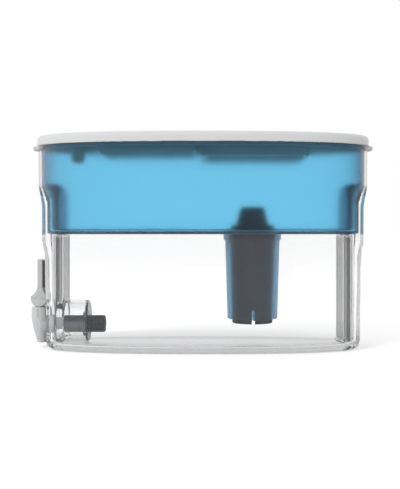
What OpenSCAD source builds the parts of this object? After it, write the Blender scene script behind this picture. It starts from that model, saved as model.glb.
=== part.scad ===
// Gravity water filter with a lever tap: a clear oval tank, a blue reservoir nested in its top,
// an oval lid with a flap, a cartridge hanging in a well, and a tap in the recess of the left end.
// Millimetres, +Z up. The origin is on the table at the centre of the tank's base; the tap faces -X.

/* [Tank] */
// Length of the tank at its rim, end to end
tank_len = 376; // [350:1:460]
// Depth of the tank at its rim, front to back
tank_dep = 147; // [136:1:180]
// Height of the tank's rim above the table
tank_h = 229.2; // [222:0.2:280]
// Wall of the tank
tank_wall = 2.6; // [2:0.1:3.2]
// Thickness of the tank's floor
tank_floor = 5.2; // [4:0.1:5.8]
// Radius round the tank's bottom edge
tank_edge_r = 9; // [7:0.5:12]
// Height where the inward step in the wall begins
step_low = 105; // [80:1:112]
// Height where the inward step in the wall ends
step_high = 125; // [114:1:126]
// How far the step takes the wall in
step_in = 2.4; // [0.5:0.1:4]
// How far the wall leans in between the rim and the step
draft_high = 0.6; // [0:0.1:1.5]
// How far the wall leans in between the step and the base
draft_low = 1.6; // [0:0.1:3]
// Height of the grip lip at each end of the rim
lip_h = 4; // [3:0.1:6]
// How far each grip lip stands out from the rim
lip_out = 6.5; // [4:0.1:9]
// Radius of a grip lip, seen from above
lip_r = 32; // [24:1:40]

/* [End recesses] */
// Depth of a recess, from the end of the rim to its back wall
recess_depth = 23; // [20:0.5:28]
// Width of a recess
recess_w = 50; // [49:1:56]
// How far the top of a recess lies below the tank's rim
recess_drop = 45.2; // [38:0.2:70]
// Radius where the recess's top turns into its back wall
recess_r = 6; // [4:1:24]

/* [Tap pocket] */
// Inner radius of the round pocket behind the left recess
pocket_r = 21.4; // [18:0.2:22]
// Depth of the pocket from the recess's back wall
pocket_depth = 32.4; // [26:0.2:44]
// Gap between the pocket's wall and the tank's floor
pocket_rise = 1.2; // [0.4:0.1:8]

/* [Reservoir] */
// Gap between the reservoir and the tank's inner face
res_gap = 1; // [0.8:0.1:3]
// Wall of the reservoir
res_wall = 2.2; // [1.6:0.1:3]
// Height of the underside of the reservoir's floor
res_z = 129.6; // [129:0.2:150]
// Thickness of the reservoir's floor
res_floor = 2.8; // [2:0.1:4]
// Thickness of the flange that rests in the tank's rim
flange_t = 2; // [1.4:0.1:3]

/* [Cartridge well] */
// Distance of the well's axis from the tank's centre, towards +X
well_x = 56.6; // [45:0.2:66]
// Gap round the cartridge's ring inside the well
well_gap = 1.2; // [0.6:0.1:3]
// Gap round the cartridge's lower end inside the well
well_foot_gap = 3.6; // [2.6:0.1:5]
// How far the cartridge stands out of the well's lower end
well_out = 5.3; // [2:0.1:12]
// How far the collar stands out from the well
collar_out = 1.8; // [1:0.1:4]
// Height of the collar ring
collar_h = 11; // [9:0.5:14]

/* [Cartridge] */
// Height of the whole cartridge
cart_h = 132.7; // [128:0.1:140]
// Radius of the cartridge's body under its ring
cart_r = 26; // [24.5:0.1:26.4]
// Radius of the cartridge's body at its lower end
cart_foot_r = 23; // [20:0.1:24.5]
// Radius of the ring that seats in the well
cart_ring_r = 28; // [27.4:0.1:32]
// Height of that ring
cart_ring_h = 5.6; // [4:0.1:7]
// Wall of the cartridge
cart_wall = 1.6; // [1.2:0.1:2]
// Radius of the cap's drum
cap_r = 25; // [23.6:0.1:26]
// Height of the cap's drum
cap_h = 11; // [9:0.5:13]
// Height of the cap's cone
cone_h = 20.4; // [16:0.2:24]
// Radius of the cone at its foot
cone_r = 18.5; // [17:0.1:20]
// Radius of the cone at its top
cone_top_r = 13.5; // [12:0.1:15]

/* [Lid] */
// How far the lid overhangs the tank's rim
lid_over = 1.5; // [0.5:0.1:3]
// Height of the lid's side
lid_side = 11.8; // [10:0.1:16]
// Rise of the lid's crown above its side
lid_crown = 4; // [2:0.1:8]
// Radius round the lid's top edge
lid_edge_r = 5; // [3:0.1:7]
// Wall of the lid
lid_wall = 2.2; // [1.8:0.1:3]
// Depth of the skirt that locates the lid in the reservoir
skirt_h = 6; // [3:0.5:10]
// How far the fill well reaches below the lid's lower edge
fill_depth = 17; // [10:0.5:24]
// How far the box of ribs beside it reaches below the lid's lower edge
rib_depth = 12; // [6:0.5:16]
// Length of the fill door
door_len = 114; // [100:1:120]
// Width of the fill door
door_w = 100; // [84:1:102]
// Thickness of the fill door
door_t = 2.4; // [1.8:0.1:3]
// Distance of the change dial's axis from the end of the rim
dial_inset = 44.8; // [40:0.2:50]
// Radius of the change dial's face
dial_r = 12; // [10:0.5:14]

/* [Tap] */
// How far the shank's axis lies below the pocket's axis
tap_drop = 3.4; // [0:0.1:4]
// Distance from the recess's back wall out to the spout's axis
tap_reach = 20.2; // [19:0.1:22]
// Outer radius of the valve housing
housing_r = 12; // [11.8:0.1:13]
// Height of the housing's top above the shank's axis
housing_top = 17.5; // [17:0.1:20]
// Radius of the valve chamber
chamber_r = 8.5; // [8:0.1:9]
// Outer radius of the spout
spout_r = 5.8; // [5.2:0.1:6.4]
// How far the spout's mouth is below the shank's axis
spout_drop = 21.3; // [20:0.1:24]
// Outer radius of the shank
shank_r = 9.8; // [9:0.1:10]
// Radius of the threaded stub that passes through the pocket's end wall
stub_r = 6.5; // [6:0.1:6.8]
// Radius of the shank's collar and of its gasket
shank_collar_r = 14; // [12:0.1:15]
// Outer radius of the lock nut
nut_r = 9.75; // [9.2:0.05:11]
// Length of the lock nut
nut_len = 17; // [14:0.5:22]

/* [Lever] */
// Radius of the lever's drum
drum_r = 9.5; // [9.2:0.1:9.8]
// Length of the lever's drum, front to back
drum_w = 20; // [18:0.5:24]
// How far the pivot is out from the spout's axis
pivot_out = 2; // [1.8:0.1:2.4]
// Height of the lever's tip above its pivot
lever_h = 44.7; // [36:0.1:56]
// Thickness of the lever's blade
blade_t = 6.3; // [5:0.1:7]
// Width of the lever's blade
blade_w = 18; // [14:0.5:20]
// Radius of the pivot pin
pin_r = 1.5; // [1.3:0.05:1.6]

/* [Hidden] */
$fn = 64;

// Every cut runs past its face by this much
over = 1;
// Radial clearance of a pin in its bore
run_gap = 0.05;
// Gap between two pieces that lie close
near_gap = 0.3;
// Exponent of the oval outline: 2 is an ellipse, more is squarer
oval_power = 2.4;
// Points round an oval
oval_points = 72;
// Steps in a rounded edge
edge_steps = 4;

tank_a = tank_len / 2;
tank_b = tank_dep / 2;
recess_x = tank_a - recess_depth;
recess_top = tank_h - recess_drop;
pocket_z = tank_floor + pocket_rise + tank_wall + pocket_r;
tap_z = pocket_z - tap_drop;
// Radius where the tank's floor meets its wall inside
floor_r = 7;
// Wall left outside the flange's seat in the rim
rim_wall = 1.1;

// Radius round the reservoir's bottom edge
res_edge_r = 4;
// Wall of the well, and the seat inside it
well_wall = 2;
seat_gap = 0.5;
seat_r = cart_r + seat_gap;
seat_h = 2;
well_r = cart_ring_r + well_gap + well_wall;
well_foot_r = cart_foot_r + well_foot_gap + well_wall;
collar_r = well_r + collar_out;
// How far the seat lies below the collar's lower edge
seat_drop = 0.5;
// Height of the raised lip of the collar above the reservoir's floor
collar_lip = 1.6;
collar_top = res_z + res_floor + collar_lip;
collar_z = collar_top - collar_h;
// Gap between the cartridge and the rim round the well's lower mouth
mouth_gap = 2;
well_mouth_r = cart_foot_r + mouth_gap;
seat_top = collar_z - seat_drop;
seal_t = 1.2;
ring_z = seat_top + seal_t;
cap_z = ring_z + cart_ring_h;
cart_z = cap_z + cap_h + cone_h - cart_h;
well_foot_z = cart_z + well_out;

lid_z = tank_h;
lid_a = tank_a + lid_over;
lid_b = tank_b + lid_over;
// Shares of the lid's half-length and half-depth at which its crown is drawn
crown_shares = [0.8, 0.6, 0.4, 0.2, 0.02];
lid_edge_z = lid_z + lid_side;
// Clearance round the fill door, and the ledge that it closes on
door_gap = 0.5;
door_ledge = 3;
fill_wall = 1.8;
// Share of the tank's half-length that the box of ribs reaches
rib_share = 0.62;
// Left edge of the door, and the hinge line beyond it
door_x = 0.5;
hinge_x = -3;
hinge_r = 2.6;
hinge_pin_r = 1.25;
hinge_len = door_w;
hinge_ear = 6;
// How far below the crown the hinge line lies
hinge_drop = 4.4;
hinge_z = lid_edge_z + lid_crown - hinge_drop;
// Free width of the hinge groove on the side away from the door
groove_w = 5.8;
groove_floor = 2;
door_corner_r = 6;
// Finger notch at the door's free edge
notch_r = 11;
notch_share = 0.6;

// Change dial: boss in the lid, stem, face and snap ring
dial_x = tank_a - dial_inset;
boss_r = 7.5;
boss_drop = 15.4;
dial_stem_r = 5;
dial_t = 1.6;
dial_z = lid_edge_z + lid_crown * (1 - pow(dial_x / (lid_a - lid_edge_r), 2));
clip_groove_r = 4;
clip_groove_h = 1.6;
clip_t = 1.2;
clip_r = 6.8;
grip_w = 3;
grip_h = 2.4;

// Thickness of a screen, and of the plate under the granules
screen_t = 0.6;
plate_t = 2;
// Slots at the cartridge's lower end
slot_w = 3.5;
slot_h = 16;
slot_count = 4;
plug_h = 3.8;
cap_slot_w = 2;
cap_slot_h = 7;
hole_count = 6;

pocket_end = pocket_depth + tank_wall;
// Stack on the shank: collar and gasket outside the wall, washer and nut inside it
collar_t = 2.4;
gasket_t = 1.6;
washer_t = 1.2;
strainer_t = 1.1;
nut_lip = 1.5;
// Where the housing's neck ends, inside the pocket
neck_end = 2;
neck_r = 10.5;
spigot_r = 7.4;
spigot_len = 10;
bore_r = 4.8;
seal_wire_r = 0.75;
seal_groove_w = 1.7;
seal_u = 3;
// Valve seat and outlet
outlet_r = 4;
valve_z = -7;
shoulder_z = 7;
waist_z = -17;
// How much wider than the spout the housing ends, on a short cone
waist_out = 0.6;
waist_r = spout_r + waist_out;
// Valve seal, stem, spring and bonnet
stem_r = 1.6;
stem_bore_gap = 0.08;
seal_r = 6.2;
seal_disc_t = 3;
seal_hub_r = 3.2;
seal_hub_h = 3;
seal_nose = 2;
seal_nose_r = 3.6;
seal_tip_r = 2.4;
// The chamber narrows round the valve seal, below this height
chamber_step_z = 3;
chamber_gap = 0.6;
bonnet_depth = 6;
bonnet_t = 2;
bonnet_r = 11.2;
spring_wire_r = 0.5;
spring_coil_r = 4.5;
spring_turns = 5;
spring_steps = 12;
spring_sides = 6;
mark_w = 2.3;
mark_h = 9;
mark_depth = 1.2;

// Pivot, in the tap's frame: distance out from the recess's back wall, and height above the shank
pivot_u = tap_reach + pivot_out;
pivot_z = housing_top + bonnet_t + near_gap + drum_r;
cheek_w = 3.2;
ear_w = 2.4;
ear_gap = 0.4;
ear_r = 2.9;
drum_wall = 1.3;
// Cross bar of the lever that lifts the valve stem
bar_r = 1.3;
bar_in = 4.6;
bar_down = 3.8;
bar_play = 0.4;
bar_travel = 1.4;
hook_w = 3.2;
hook_wall = 1.6;
blade_rib = 2;
blade_skin = 2.6;
blade_tip_r = 3;
// How far the blade's middle is in from the pivot
blade_in = 1.15;

// Half-width of an oval along one axis, from the cosine or sine of its angle
function oval_half(size, turn) = size * sign(turn) * pow(abs(turn), 2 / oval_power);
// Points of an oval ring: half-length, half-depth and height
function oval_ring(ring) = [
    for (i = [0:oval_points - 1])
        let (angle = 360 * i / oval_points)
            [oval_half(ring[0], cos(angle)), oval_half(ring[1], sin(angle)), ring[2]]
];
// Ring of the tank's outline, drawn in by an inset
function tank_ring(inset, z) = [tank_a - inset, tank_b - inset, z];
// How far the tank's wall has leaned in at a height
function tank_lean(z) =
    z >= step_high ? draft_high * (tank_h - z) / (tank_h - step_high)
    : z >= step_low ? draft_high + step_in * (step_high - z) / (step_high - step_low)
    : draft_high + step_in + draft_low * (step_low - z) / step_low;
// Rings of a rounded bottom edge of radius r that starts at height z
function edge_rings(inset, r, z) = [
    for (i = [0:edge_steps])
        let (angle = 90 * i / edge_steps)
            tank_ring(inset + tank_lean(z) + r * (1 - sin(angle)), z + r * (1 - cos(angle)))
];

// Solid through a stack of oval rings
module loft(rings) {
    count = oval_points;
    last = (len(rings) - 1) * count;
    polyhedron(
        points = [for (ring = rings) each oval_ring(ring)],
        faces = concat(
            [[for (i = [0:count - 1]) i]],
            [
                for (k = [0:len(rings) - 2], i = [0:count - 1])
                    let (a = k * count + i, b = k * count + (i + 1) % count)
                        each [[a, a + count, b + count], [a, b + count, b]]
            ],
            [[for (i = [count - 1:-1:0]) last + i]]
        )
    );
}

// Cylinder along X that starts at x = 0
module rod_x(r, h, r2 = -1) {
    rotate([0, 90, 0]) cylinder(h = h, r1 = r, r2 = r2 < 0 ? r : r2);
}

// Cylinder along Y, centred
module rod_y(r, h) {
    rotate([90, 0, 0]) cylinder(h = h, r = r, center = true);
}

// Space of an end recess, grown by a wall: side is 1 for +X, -1 for -X
module recess(side, grow) {
    back = recess_x - grow;
    top = recess_top + grow;
    r = recess_r + grow;
    half = recess_w / 2 + grow;
    far = tank_a + lip_out + over;
    rotate([0, 0, side > 0 ? 0 : 180])
        intersection() {
            // Profile along X: a back wall that turns into the top with a radius
            rotate([90, 0, 0])
                linear_extrude(2 * half + 2 * over, center = true)
                    union() {
                        translate([back + r, -over]) square([far - back - r, top + 2 * over]);
                        translate([back, -over]) square([far - back, top - r + over]);
                        translate([back + r, top - r]) circle(r);
                    }
            // Profile along Y: an arch
            translate([back - over, 0, 0])
                rotate([90, 0, 90])
                    linear_extrude(far - back + over)
                        union() {
                            translate([-half, -over]) square([2 * half, top - half + over]);
                            translate([0, top - half]) circle(half);
                        }
        }
}

// Round pocket behind the left recess, grown by a wall
module pocket(grow) {
    translate([-recess_x - over, 0, pocket_z])
        rod_x(pocket_r + grow, pocket_depth + grow + over);
}

// Grip lip at one end of the rim
module grip_lip(side) {
    translate([side * (tank_a + lip_out - lip_r), 0, tank_h - lip_h]) cylinder(h = lip_h, r = lip_r);
}

// Places what is drawn in the tap's frame: +X out of the recess, Z from the shank's axis
module tap_frame() {
    translate([-recess_x, 0, tap_z]) rotate([0, 0, 180]) children();
}

// Places what is drawn round the valve's axis
module valve_frame() {
    tap_frame() translate([tap_reach, 0, 0]) children();
}

module tank() {
    color("aliceblue", 0.4)
    difference() {
        union() {
            loft(concat(
                edge_rings(0, tank_edge_r, 0),
                [for (z = [step_low, step_high, tank_h]) tank_ring(tank_lean(z), z)]
            ));
            grip_lip(-1);
            grip_lip(1);
        }
        difference() {
            loft(concat(
                edge_rings(tank_wall, floor_r, tank_floor),
                [for (z = [step_low, step_high]) tank_ring(tank_lean(z) + tank_wall, z)],
                [
                    tank_ring(tank_wall, tank_h - flange_t),
                    tank_ring(rim_wall, tank_h - flange_t),
                    tank_ring(rim_wall, tank_h + over)
                ]
            ));
            recess(-1, tank_wall);
            recess(1, tank_wall);
            pocket(tank_wall);
        }
        recess(-1, 0);
        recess(1, 0);
        pocket(0);
        tap_frame() translate([-pocket_end - over, 0, 0]) rod_x(stub_r + near_gap, tank_wall + 2 * over);
    }
}

module reservoir() {
    inset = tank_wall + res_gap;
    flange_z = tank_h - flange_t;
    color("deepskyblue", 0.5)
    difference() {
        union() {
            difference() {
                loft(concat(
                    edge_rings(inset, res_edge_r, res_z),
                    [
                        tank_ring(inset, flange_z),
                        tank_ring(rim_wall + near_gap, flange_z),
                        tank_ring(rim_wall + near_gap, tank_h)
                    ]
                ));
                difference() {
                    loft(concat(
                        edge_rings(inset + res_wall, res_edge_r / 2, res_z + res_floor),
                        [tank_ring(inset + res_wall, flange_z), tank_ring(inset + res_wall, tank_h + over)]
                    ));
                    recess(-1, inset + res_wall);
                    recess(1, inset + res_wall);
                }
                recess(-1, inset);
                recess(1, inset);
            }
            translate([well_x, 0, collar_z]) cylinder(h = collar_h, r = collar_r);
            translate([well_x, 0, well_foot_z])
                cylinder(h = collar_z - well_foot_z, r1 = well_foot_r, r2 = well_r);
        }
        translate([well_x, 0, 0]) {
            translate([0, 0, seat_top])
                cylinder(h = collar_top - seat_top + over, r = well_r - well_wall);
            translate([0, 0, seat_top - seat_h - over])
                cylinder(h = seat_h + 2 * over, r = seat_r);
            translate([0, 0, well_foot_z + well_wall])
                cylinder(
                    h = seat_top - seat_h - well_foot_z - well_wall,
                    r1 = well_foot_r - well_wall,
                    r2 = well_r - well_wall
                );
            translate([0, 0, well_foot_z - over]) cylinder(h = well_wall + 2 * over, r = well_mouth_r);
        }
    }
}

// Outer form of the lid, drawn in by an inset and run down below its lower edge
module lid_form(inset, down) {
    r = lid_edge_r - inset;
    top_a = lid_a - lid_edge_r;
    top_b = lid_b - lid_edge_r;
    z = lid_edge_z - lid_edge_r;
    loft(concat(
        [[lid_a - inset, lid_b - inset, lid_z - down]],
        [
            for (i = [0:edge_steps])
                let (angle = 90 * i / edge_steps)
                    [top_a + r * cos(angle), top_b + r * cos(angle), z + r * sin(angle)]
        ],
        [
            for (share = crown_shares)
                [top_a * share, top_b * share, lid_edge_z - inset + lid_crown * (1 - share * share)]
        ]
    ));
}

// Block with rounded corners under the lid's crown: x range, half-depth and lower end
module lid_block(x0, x1, half, r, z) {
    translate([0, 0, z])
        linear_extrude(lid_edge_z + lid_crown + over - z)
            union() {
                translate([x0 + r, -half]) square([x1 - x0 - 2 * r, 2 * half]);
                translate([x0, -half + r]) square([x1 - x0, 2 * half - 2 * r]);
                for (x = [x0 + r, x1 - r], y = [-half + r, half - r]) translate([x, y]) circle(r);
            }
}

// Outline of the fill door, grown by a gap
module door_block(grow) {
    lid_block(door_x - grow, door_x + door_len + grow, door_w / 2 + grow, door_corner_r + grow, lid_z);
}

// Bore of the hinge pin
module hinge_bore(length) {
    translate([hinge_x, 0, hinge_z]) rod_y(hinge_pin_r + run_gap, length);
}

module lid() {
    ear_end = hinge_len / 2 + near_gap + hinge_ear;
    rib_x = -tank_a * rib_share;
    color("whitesmoke")
    difference() {
        union() {
            difference() {
                lid_form(0, 0);
                lid_form(lid_wall, over);
            }
            intersection() {
                lid_form(lid_wall / 2, fill_depth + over);
                union() {
                    lid_block(
                        door_x - door_gap - fill_wall,
                        door_x + door_len + door_gap + fill_wall,
                        door_w / 2 + door_gap + fill_wall,
                        door_corner_r + door_gap + fill_wall,
                        lid_z - fill_depth
                    );
                    difference() {
                        lid_block(
                            rib_x, hinge_x - groove_w, door_w / 2 + door_gap + fill_wall, fill_wall,
                            lid_z - rib_depth
                        );
                        translate([rib_x + fill_wall, -door_w / 2, lid_z - rib_depth - over])
                            cube([
                                hinge_x - groove_w - rib_x - 2 * fill_wall,
                                door_w,
                                rib_depth + lid_side - lid_wall + over
                            ]);
                    }
                    lid_block(
                        hinge_x - groove_w - groove_floor, door_x + door_gap, ear_end, fill_wall,
                        hinge_z - hinge_r - near_gap - groove_floor
                    );
                    translate([-dial_x, 0, lid_z - boss_drop])
                        cylinder(h = dial_z - lid_z + boss_drop, r = boss_r);
                    translate([-dial_x, 0, dial_z - dial_t - near_gap - fill_wall])
                        cylinder(h = dial_t + near_gap + fill_wall, r = dial_r + near_gap + fill_wall);
                }
            }
            difference() {
                loft([
                    for (z = [lid_z - skirt_h, lid_edge_z - lid_wall / 2])
                        tank_ring(tank_wall + res_gap + res_wall + near_gap * 2, z)
                ]);
                loft([
                    for (z = [lid_z - skirt_h - over, lid_edge_z])
                        tank_ring(tank_wall + res_gap + res_wall + near_gap * 2 + fill_wall, z)
                ]);
            }
        }
        difference() {
            door_block(door_gap);
            lid_form(door_t + near_gap, over);
        }
        lid_block(
            door_x + door_ledge,
            door_x + door_len - door_ledge,
            door_w / 2 - door_ledge,
            door_corner_r,
            lid_z - fill_depth - over
        );
        translate([hinge_x - groove_w, -hinge_len / 2 - near_gap, hinge_z - hinge_r - near_gap])
            cube([
                door_x + door_ledge - hinge_x + groove_w,
                hinge_len + 2 * near_gap,
                hinge_drop + hinge_r + near_gap + over
            ]);
        hinge_bore(2 * ear_end - fill_wall);
        translate([-dial_x, 0, lid_z - boss_drop - over])
            cylinder(h = boss_drop + lid_side + lid_crown, r = dial_stem_r + run_gap);
        translate([-dial_x, 0, dial_z - dial_t - near_gap])
            cylinder(h = dial_t + lid_crown + over, r = dial_r + near_gap);
    }
}

module fill_door() {
    color("whitesmoke")
    difference() {
        union() {
            difference() {
                intersection() {
                    door_block(0);
                    lid_form(0, 0);
                }
                lid_form(door_t, over);
            }
            translate([hinge_x, 0, hinge_z]) rod_y(hinge_r, hinge_len);
            translate([hinge_x, -hinge_len / 2, hinge_z - hinge_r / 4])
                cube([door_x - hinge_x + door_ledge, hinge_len, hinge_r - near_gap]);
        }
        hinge_bore(hinge_len + 2 * over);
        translate([door_x + door_len + notch_r * notch_share, 0, lid_z])
            cylinder(h = lid_side + lid_crown + over, r = notch_r);
    }
}

module fill_door_pin() {
    length = hinge_len + 2 * hinge_ear - fill_wall;
    color("silver") translate([hinge_x, 0, hinge_z]) rod_y(hinge_pin_r, length);
}

module change_dial() {
    stem_h = boss_drop + dial_z - lid_z - dial_t - near_gap / 2 + clip_groove_h + clip_t;
    color("lightsteelblue")
    translate([-dial_x, 0, dial_z - dial_t - near_gap / 2])
        difference() {
            union() {
                cylinder(h = dial_t, r = dial_r);
                translate([0, 0, -stem_h]) cylinder(h = stem_h, r = dial_stem_r);
                translate([-dial_r + grip_w, -grip_w / 2, 0]) cube([2 * (dial_r - grip_w), grip_w, grip_h]);
            }
            translate([0, 0, -stem_h + clip_t])
                difference() {
                    cylinder(h = clip_groove_h, r = dial_stem_r + over);
                    translate([0, 0, -over]) cylinder(h = clip_groove_h + 2 * over, r = clip_groove_r);
                }
        }
}

module dial_clip() {
    z = lid_z - boss_drop - clip_groove_h + (clip_groove_h - clip_t) / 2;
    color("dimgray")
    translate([-dial_x, 0, z])
        difference() {
            cylinder(h = clip_t, r = clip_r);
            translate([0, 0, -over]) cylinder(h = clip_t + 2 * over, r = clip_groove_r + run_gap);
            translate([-clip_groove_r / 2, 0, -over])
                cube([clip_groove_r, clip_r + over, clip_t + 2 * over]);
        }
}

module cartridge_body() {
    inner = cart_r - cart_wall;
    foot = cart_foot_r - cart_wall;
    color("dimgray")
    translate([well_x, 0, 0])
        difference() {
            union() {
                translate([0, 0, cart_z]) cylinder(h = ring_z - cart_z, r1 = cart_foot_r, r2 = cart_r);
                translate([0, 0, ring_z]) cylinder(h = cart_ring_h, r = cart_ring_r);
            }
            translate([0, 0, cart_z + slot_h + plate_t])
                cylinder(h = ring_z - cart_z - slot_h - plate_t, r1 = foot, r2 = inner);
            translate([0, 0, ring_z]) cylinder(h = cart_ring_h + over, r = inner);
            translate([0, 0, cart_z - over]) cylinder(h = slot_h + over, r = foot);
            for (i = [0:slot_count - 1])
                rotate([0, 0, 360 * i / slot_count])
                    translate([-slot_w / 2, 0, cart_z - over]) cube([slot_w, cart_r + over, slot_h + over]);
            for (i = [0:hole_count - 1])
                rotate([0, 0, 360 * i / hole_count])
                    translate([foot / 2, 0, cart_z + slot_h - over])
                        cylinder(h = plate_t + 2 * over, r = slot_w / 2);
        }
}

module cartridge_cap() {
    inner = cart_r - cart_wall;
    color("slategray")
    translate([well_x, 0, cap_z])
        difference() {
            union() {
                cylinder(h = cap_h, r = cap_r);
                translate([0, 0, cap_h]) cylinder(h = cone_h, r1 = cone_r, r2 = cone_top_r);
                translate([0, 0, -plug_h]) cylinder(h = plug_h, r = inner - run_gap);
            }
            translate([0, 0, -plug_h - over])
                cylinder(h = plug_h + cap_h - cart_wall + over, r = inner - cart_wall);
            translate([0, 0, cap_h - cart_wall - over])
                cylinder(h = cone_h + over, r1 = cone_r - cart_wall, r2 = cone_top_r - cart_wall);
            for (i = [0:hole_count - 1])
                rotate([0, 0, 360 * i / hole_count])
                    translate([cone_top_r / 2, 0, cap_h + cone_h - cart_wall - over])
                        cylinder(h = cart_wall + 2 * over, r = cart_wall);
            for (angle = [0, 180])
                rotate([0, 0, angle])
                    translate([-cap_slot_w / 2, inner - cart_wall - over, cap_h - cap_slot_h])
                        cube([cap_slot_w, cap_r, cap_slot_h - cart_wall]);
        }
}

module cartridge_seal() {
    color("white")
    translate([well_x, 0, seat_top])
        difference() {
            cylinder(h = seal_t, r = cart_ring_r);
            translate([0, 0, -over]) cylinder(h = seal_t + 2 * over, r = cart_r + near_gap);
        }
}

module cap_screen() {
    color("lightgray")
    translate([well_x, 0, cap_z - plug_h - screen_t]) cylinder(h = screen_t, r = cart_r - cart_wall - near_gap);
}

module outlet_screen() {
    color("lightgray")
    translate([well_x, 0, cart_z + slot_h + plate_t]) cylinder(h = screen_t, r = cart_foot_r - cart_wall);
}

module filter_media() {
    z = cart_z + slot_h + plate_t + screen_t;
    color("black")
    translate([well_x, 0, z])
        cylinder(
            h = cap_z - plug_h - screen_t - z,
            r1 = cart_foot_r - cart_wall - near_gap,
            r2 = cart_r - cart_wall - near_gap
        );
}

module tap_body() {
    color("gainsboro")
    tap_frame()
        difference() {
            union() {
                translate([tap_reach, 0, 0]) {
                    translate([0, 0, -spout_drop]) cylinder(h = housing_top, r = spout_r);
                    translate([0, 0, waist_z]) cylinder(h = shoulder_z - waist_z, r1 = waist_r, r2 = housing_r);
                    translate([0, 0, waist_z - (waist_r - spout_r)])
                        cylinder(h = waist_r - spout_r, r1 = spout_r, r2 = waist_r);
                    translate([0, 0, shoulder_z]) cylinder(h = housing_top - shoulder_z, r = housing_r);
                }
                translate([-neck_end, 0, 0]) rod_x(neck_r, tap_reach + neck_end);
            }
            translate([tap_reach, 0, valve_z])
                cylinder(h = chamber_step_z - valve_z + over, r = seal_r + chamber_gap);
            translate([tap_reach, 0, chamber_step_z])
                cylinder(h = housing_top - chamber_step_z + over, r = chamber_r);
            translate([tap_reach, 0, -spout_drop - over])
                cylinder(h = spout_drop + valve_z + 2 * over, r = outlet_r);
            translate([-neck_end - over, 0, 0]) rod_x(spigot_r + run_gap, spigot_len + run_gap + over);
            rod_x(bore_r, tap_reach);
            for (side = [-1, 1])
                translate([pivot_u - mark_w / 2, side * housing_r - mark_depth, housing_top - mark_h])
                    cube([mark_w, 2 * mark_depth, mark_h + over]);
        }
}

module tap_bonnet() {
    ear_y = drum_w / 2 - cheek_w - ear_gap - ear_w / 2;
    color("gainsboro")
    tap_frame()
        difference() {
            union() {
                translate([tap_reach, 0, housing_top - bonnet_depth])
                    cylinder(h = bonnet_depth, r = chamber_r - run_gap);
                translate([tap_reach, 0, housing_top]) cylinder(h = bonnet_t, r = bonnet_r);
                for (side = [-1, 1])
                    translate([pivot_u, side * ear_y, 0]) {
                        translate([-ear_r, -ear_w / 2, housing_top])
                            cube([2 * ear_r, ear_w, pivot_z - housing_top]);
                        translate([0, 0, pivot_z]) rod_y(ear_r, ear_w);
                    }
            }
            translate([tap_reach, 0, housing_top - bonnet_depth - over])
                cylinder(h = bonnet_depth + bonnet_t + 2 * over, r = stem_r + stem_bore_gap);
            translate([pivot_u, 0, pivot_z]) rod_y(pin_r + run_gap, drum_w);
        }
}

module tap_lever() {
    inner_w = drum_w - 2 * cheek_w;
    blade_u = pivot_u - blade_in - blade_t / 2;
    color("gainsboro")
    tap_frame()
        difference() {
            union() {
                difference() {
                    union() {
                        translate([pivot_u, 0, pivot_z]) rod_y(drum_r, drum_w);
                        translate([blade_u, -blade_w / 2, pivot_z])
                            cube([blade_t, blade_w, lever_h - blade_tip_r]);
                        translate([blade_u, -blade_w / 2 + blade_tip_r, pivot_z])
                            cube([blade_t, blade_w - 2 * blade_tip_r, lever_h]);
                        for (side = [-1, 1])
                            translate([
                                blade_u, side * (blade_w / 2 - blade_tip_r), pivot_z + lever_h - blade_tip_r
                            ])
                                rod_x(blade_tip_r, blade_t);
                    }
                    translate([pivot_u, 0, pivot_z]) rod_y(drum_r - drum_wall, inner_w);
                    translate([pivot_u - drum_r - over, -inner_w / 2, pivot_z - drum_r - over])
                        cube([2 * (drum_r + over), inner_w, drum_r + over]);
                }
                translate([pivot_u - bar_in, 0, pivot_z - bar_down]) rod_y(bar_r, inner_w + cheek_w);
            }
            translate([pivot_u, 0, pivot_z]) rod_y(pin_r + run_gap, drum_w + 2 * over);
            translate([blade_u - over, -blade_w / 2 + blade_rib, pivot_z + drum_r + blade_rib])
                cube([blade_t - blade_skin + over, blade_w - 2 * blade_rib, lever_h - drum_r - 2 * blade_rib]);
        }
}

module lever_pin() {
    color("silver") tap_frame() translate([pivot_u, 0, pivot_z]) rod_y(pin_r, drum_w);
}

module valve_stem() {
    rod_top = pivot_z - pin_r - bar_down - run_gap;
    hook_in = bar_in + bar_r + bar_travel + bar_play + hook_wall;
    slot_len = 2 * bar_r + bar_travel + 2 * bar_play;
    hook_low = pivot_z - bar_down - bar_r - bar_play - 2 * hook_wall;
    color("silver")
    tap_frame()
        difference() {
            union() {
                translate([tap_reach, 0, valve_z + near_gap])
                    cylinder(h = rod_top - valve_z - near_gap, r = stem_r);
                translate([pivot_u - hook_in, -hook_w / 2, hook_low])
                    cube([hook_in - pin_r - near_gap, hook_w, pivot_z - bar_play - hook_low]);
            }
            translate([
                pivot_u - bar_in - bar_r - bar_travel - bar_play, -hook_w, pivot_z - bar_down - bar_r - bar_play
            ])
                cube([slot_len, 2 * hook_w, 2 * (bar_r + bar_play)]);
        }
}

module valve_seal() {
    color("firebrick")
    valve_frame()
        translate([0, 0, valve_z + run_gap])
            difference() {
                union() {
                    translate([0, 0, -seal_nose]) cylinder(h = seal_nose, r1 = seal_tip_r, r2 = seal_nose_r);
                    cylinder(h = seal_disc_t, r = seal_r);
                    translate([0, 0, seal_disc_t]) cylinder(h = seal_hub_h, r = seal_hub_r);
                }
                translate([0, 0, near_gap - run_gap])
                    cylinder(h = seal_disc_t + seal_hub_h + over, r = stem_r + run_gap / 2);
            }
}

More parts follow.
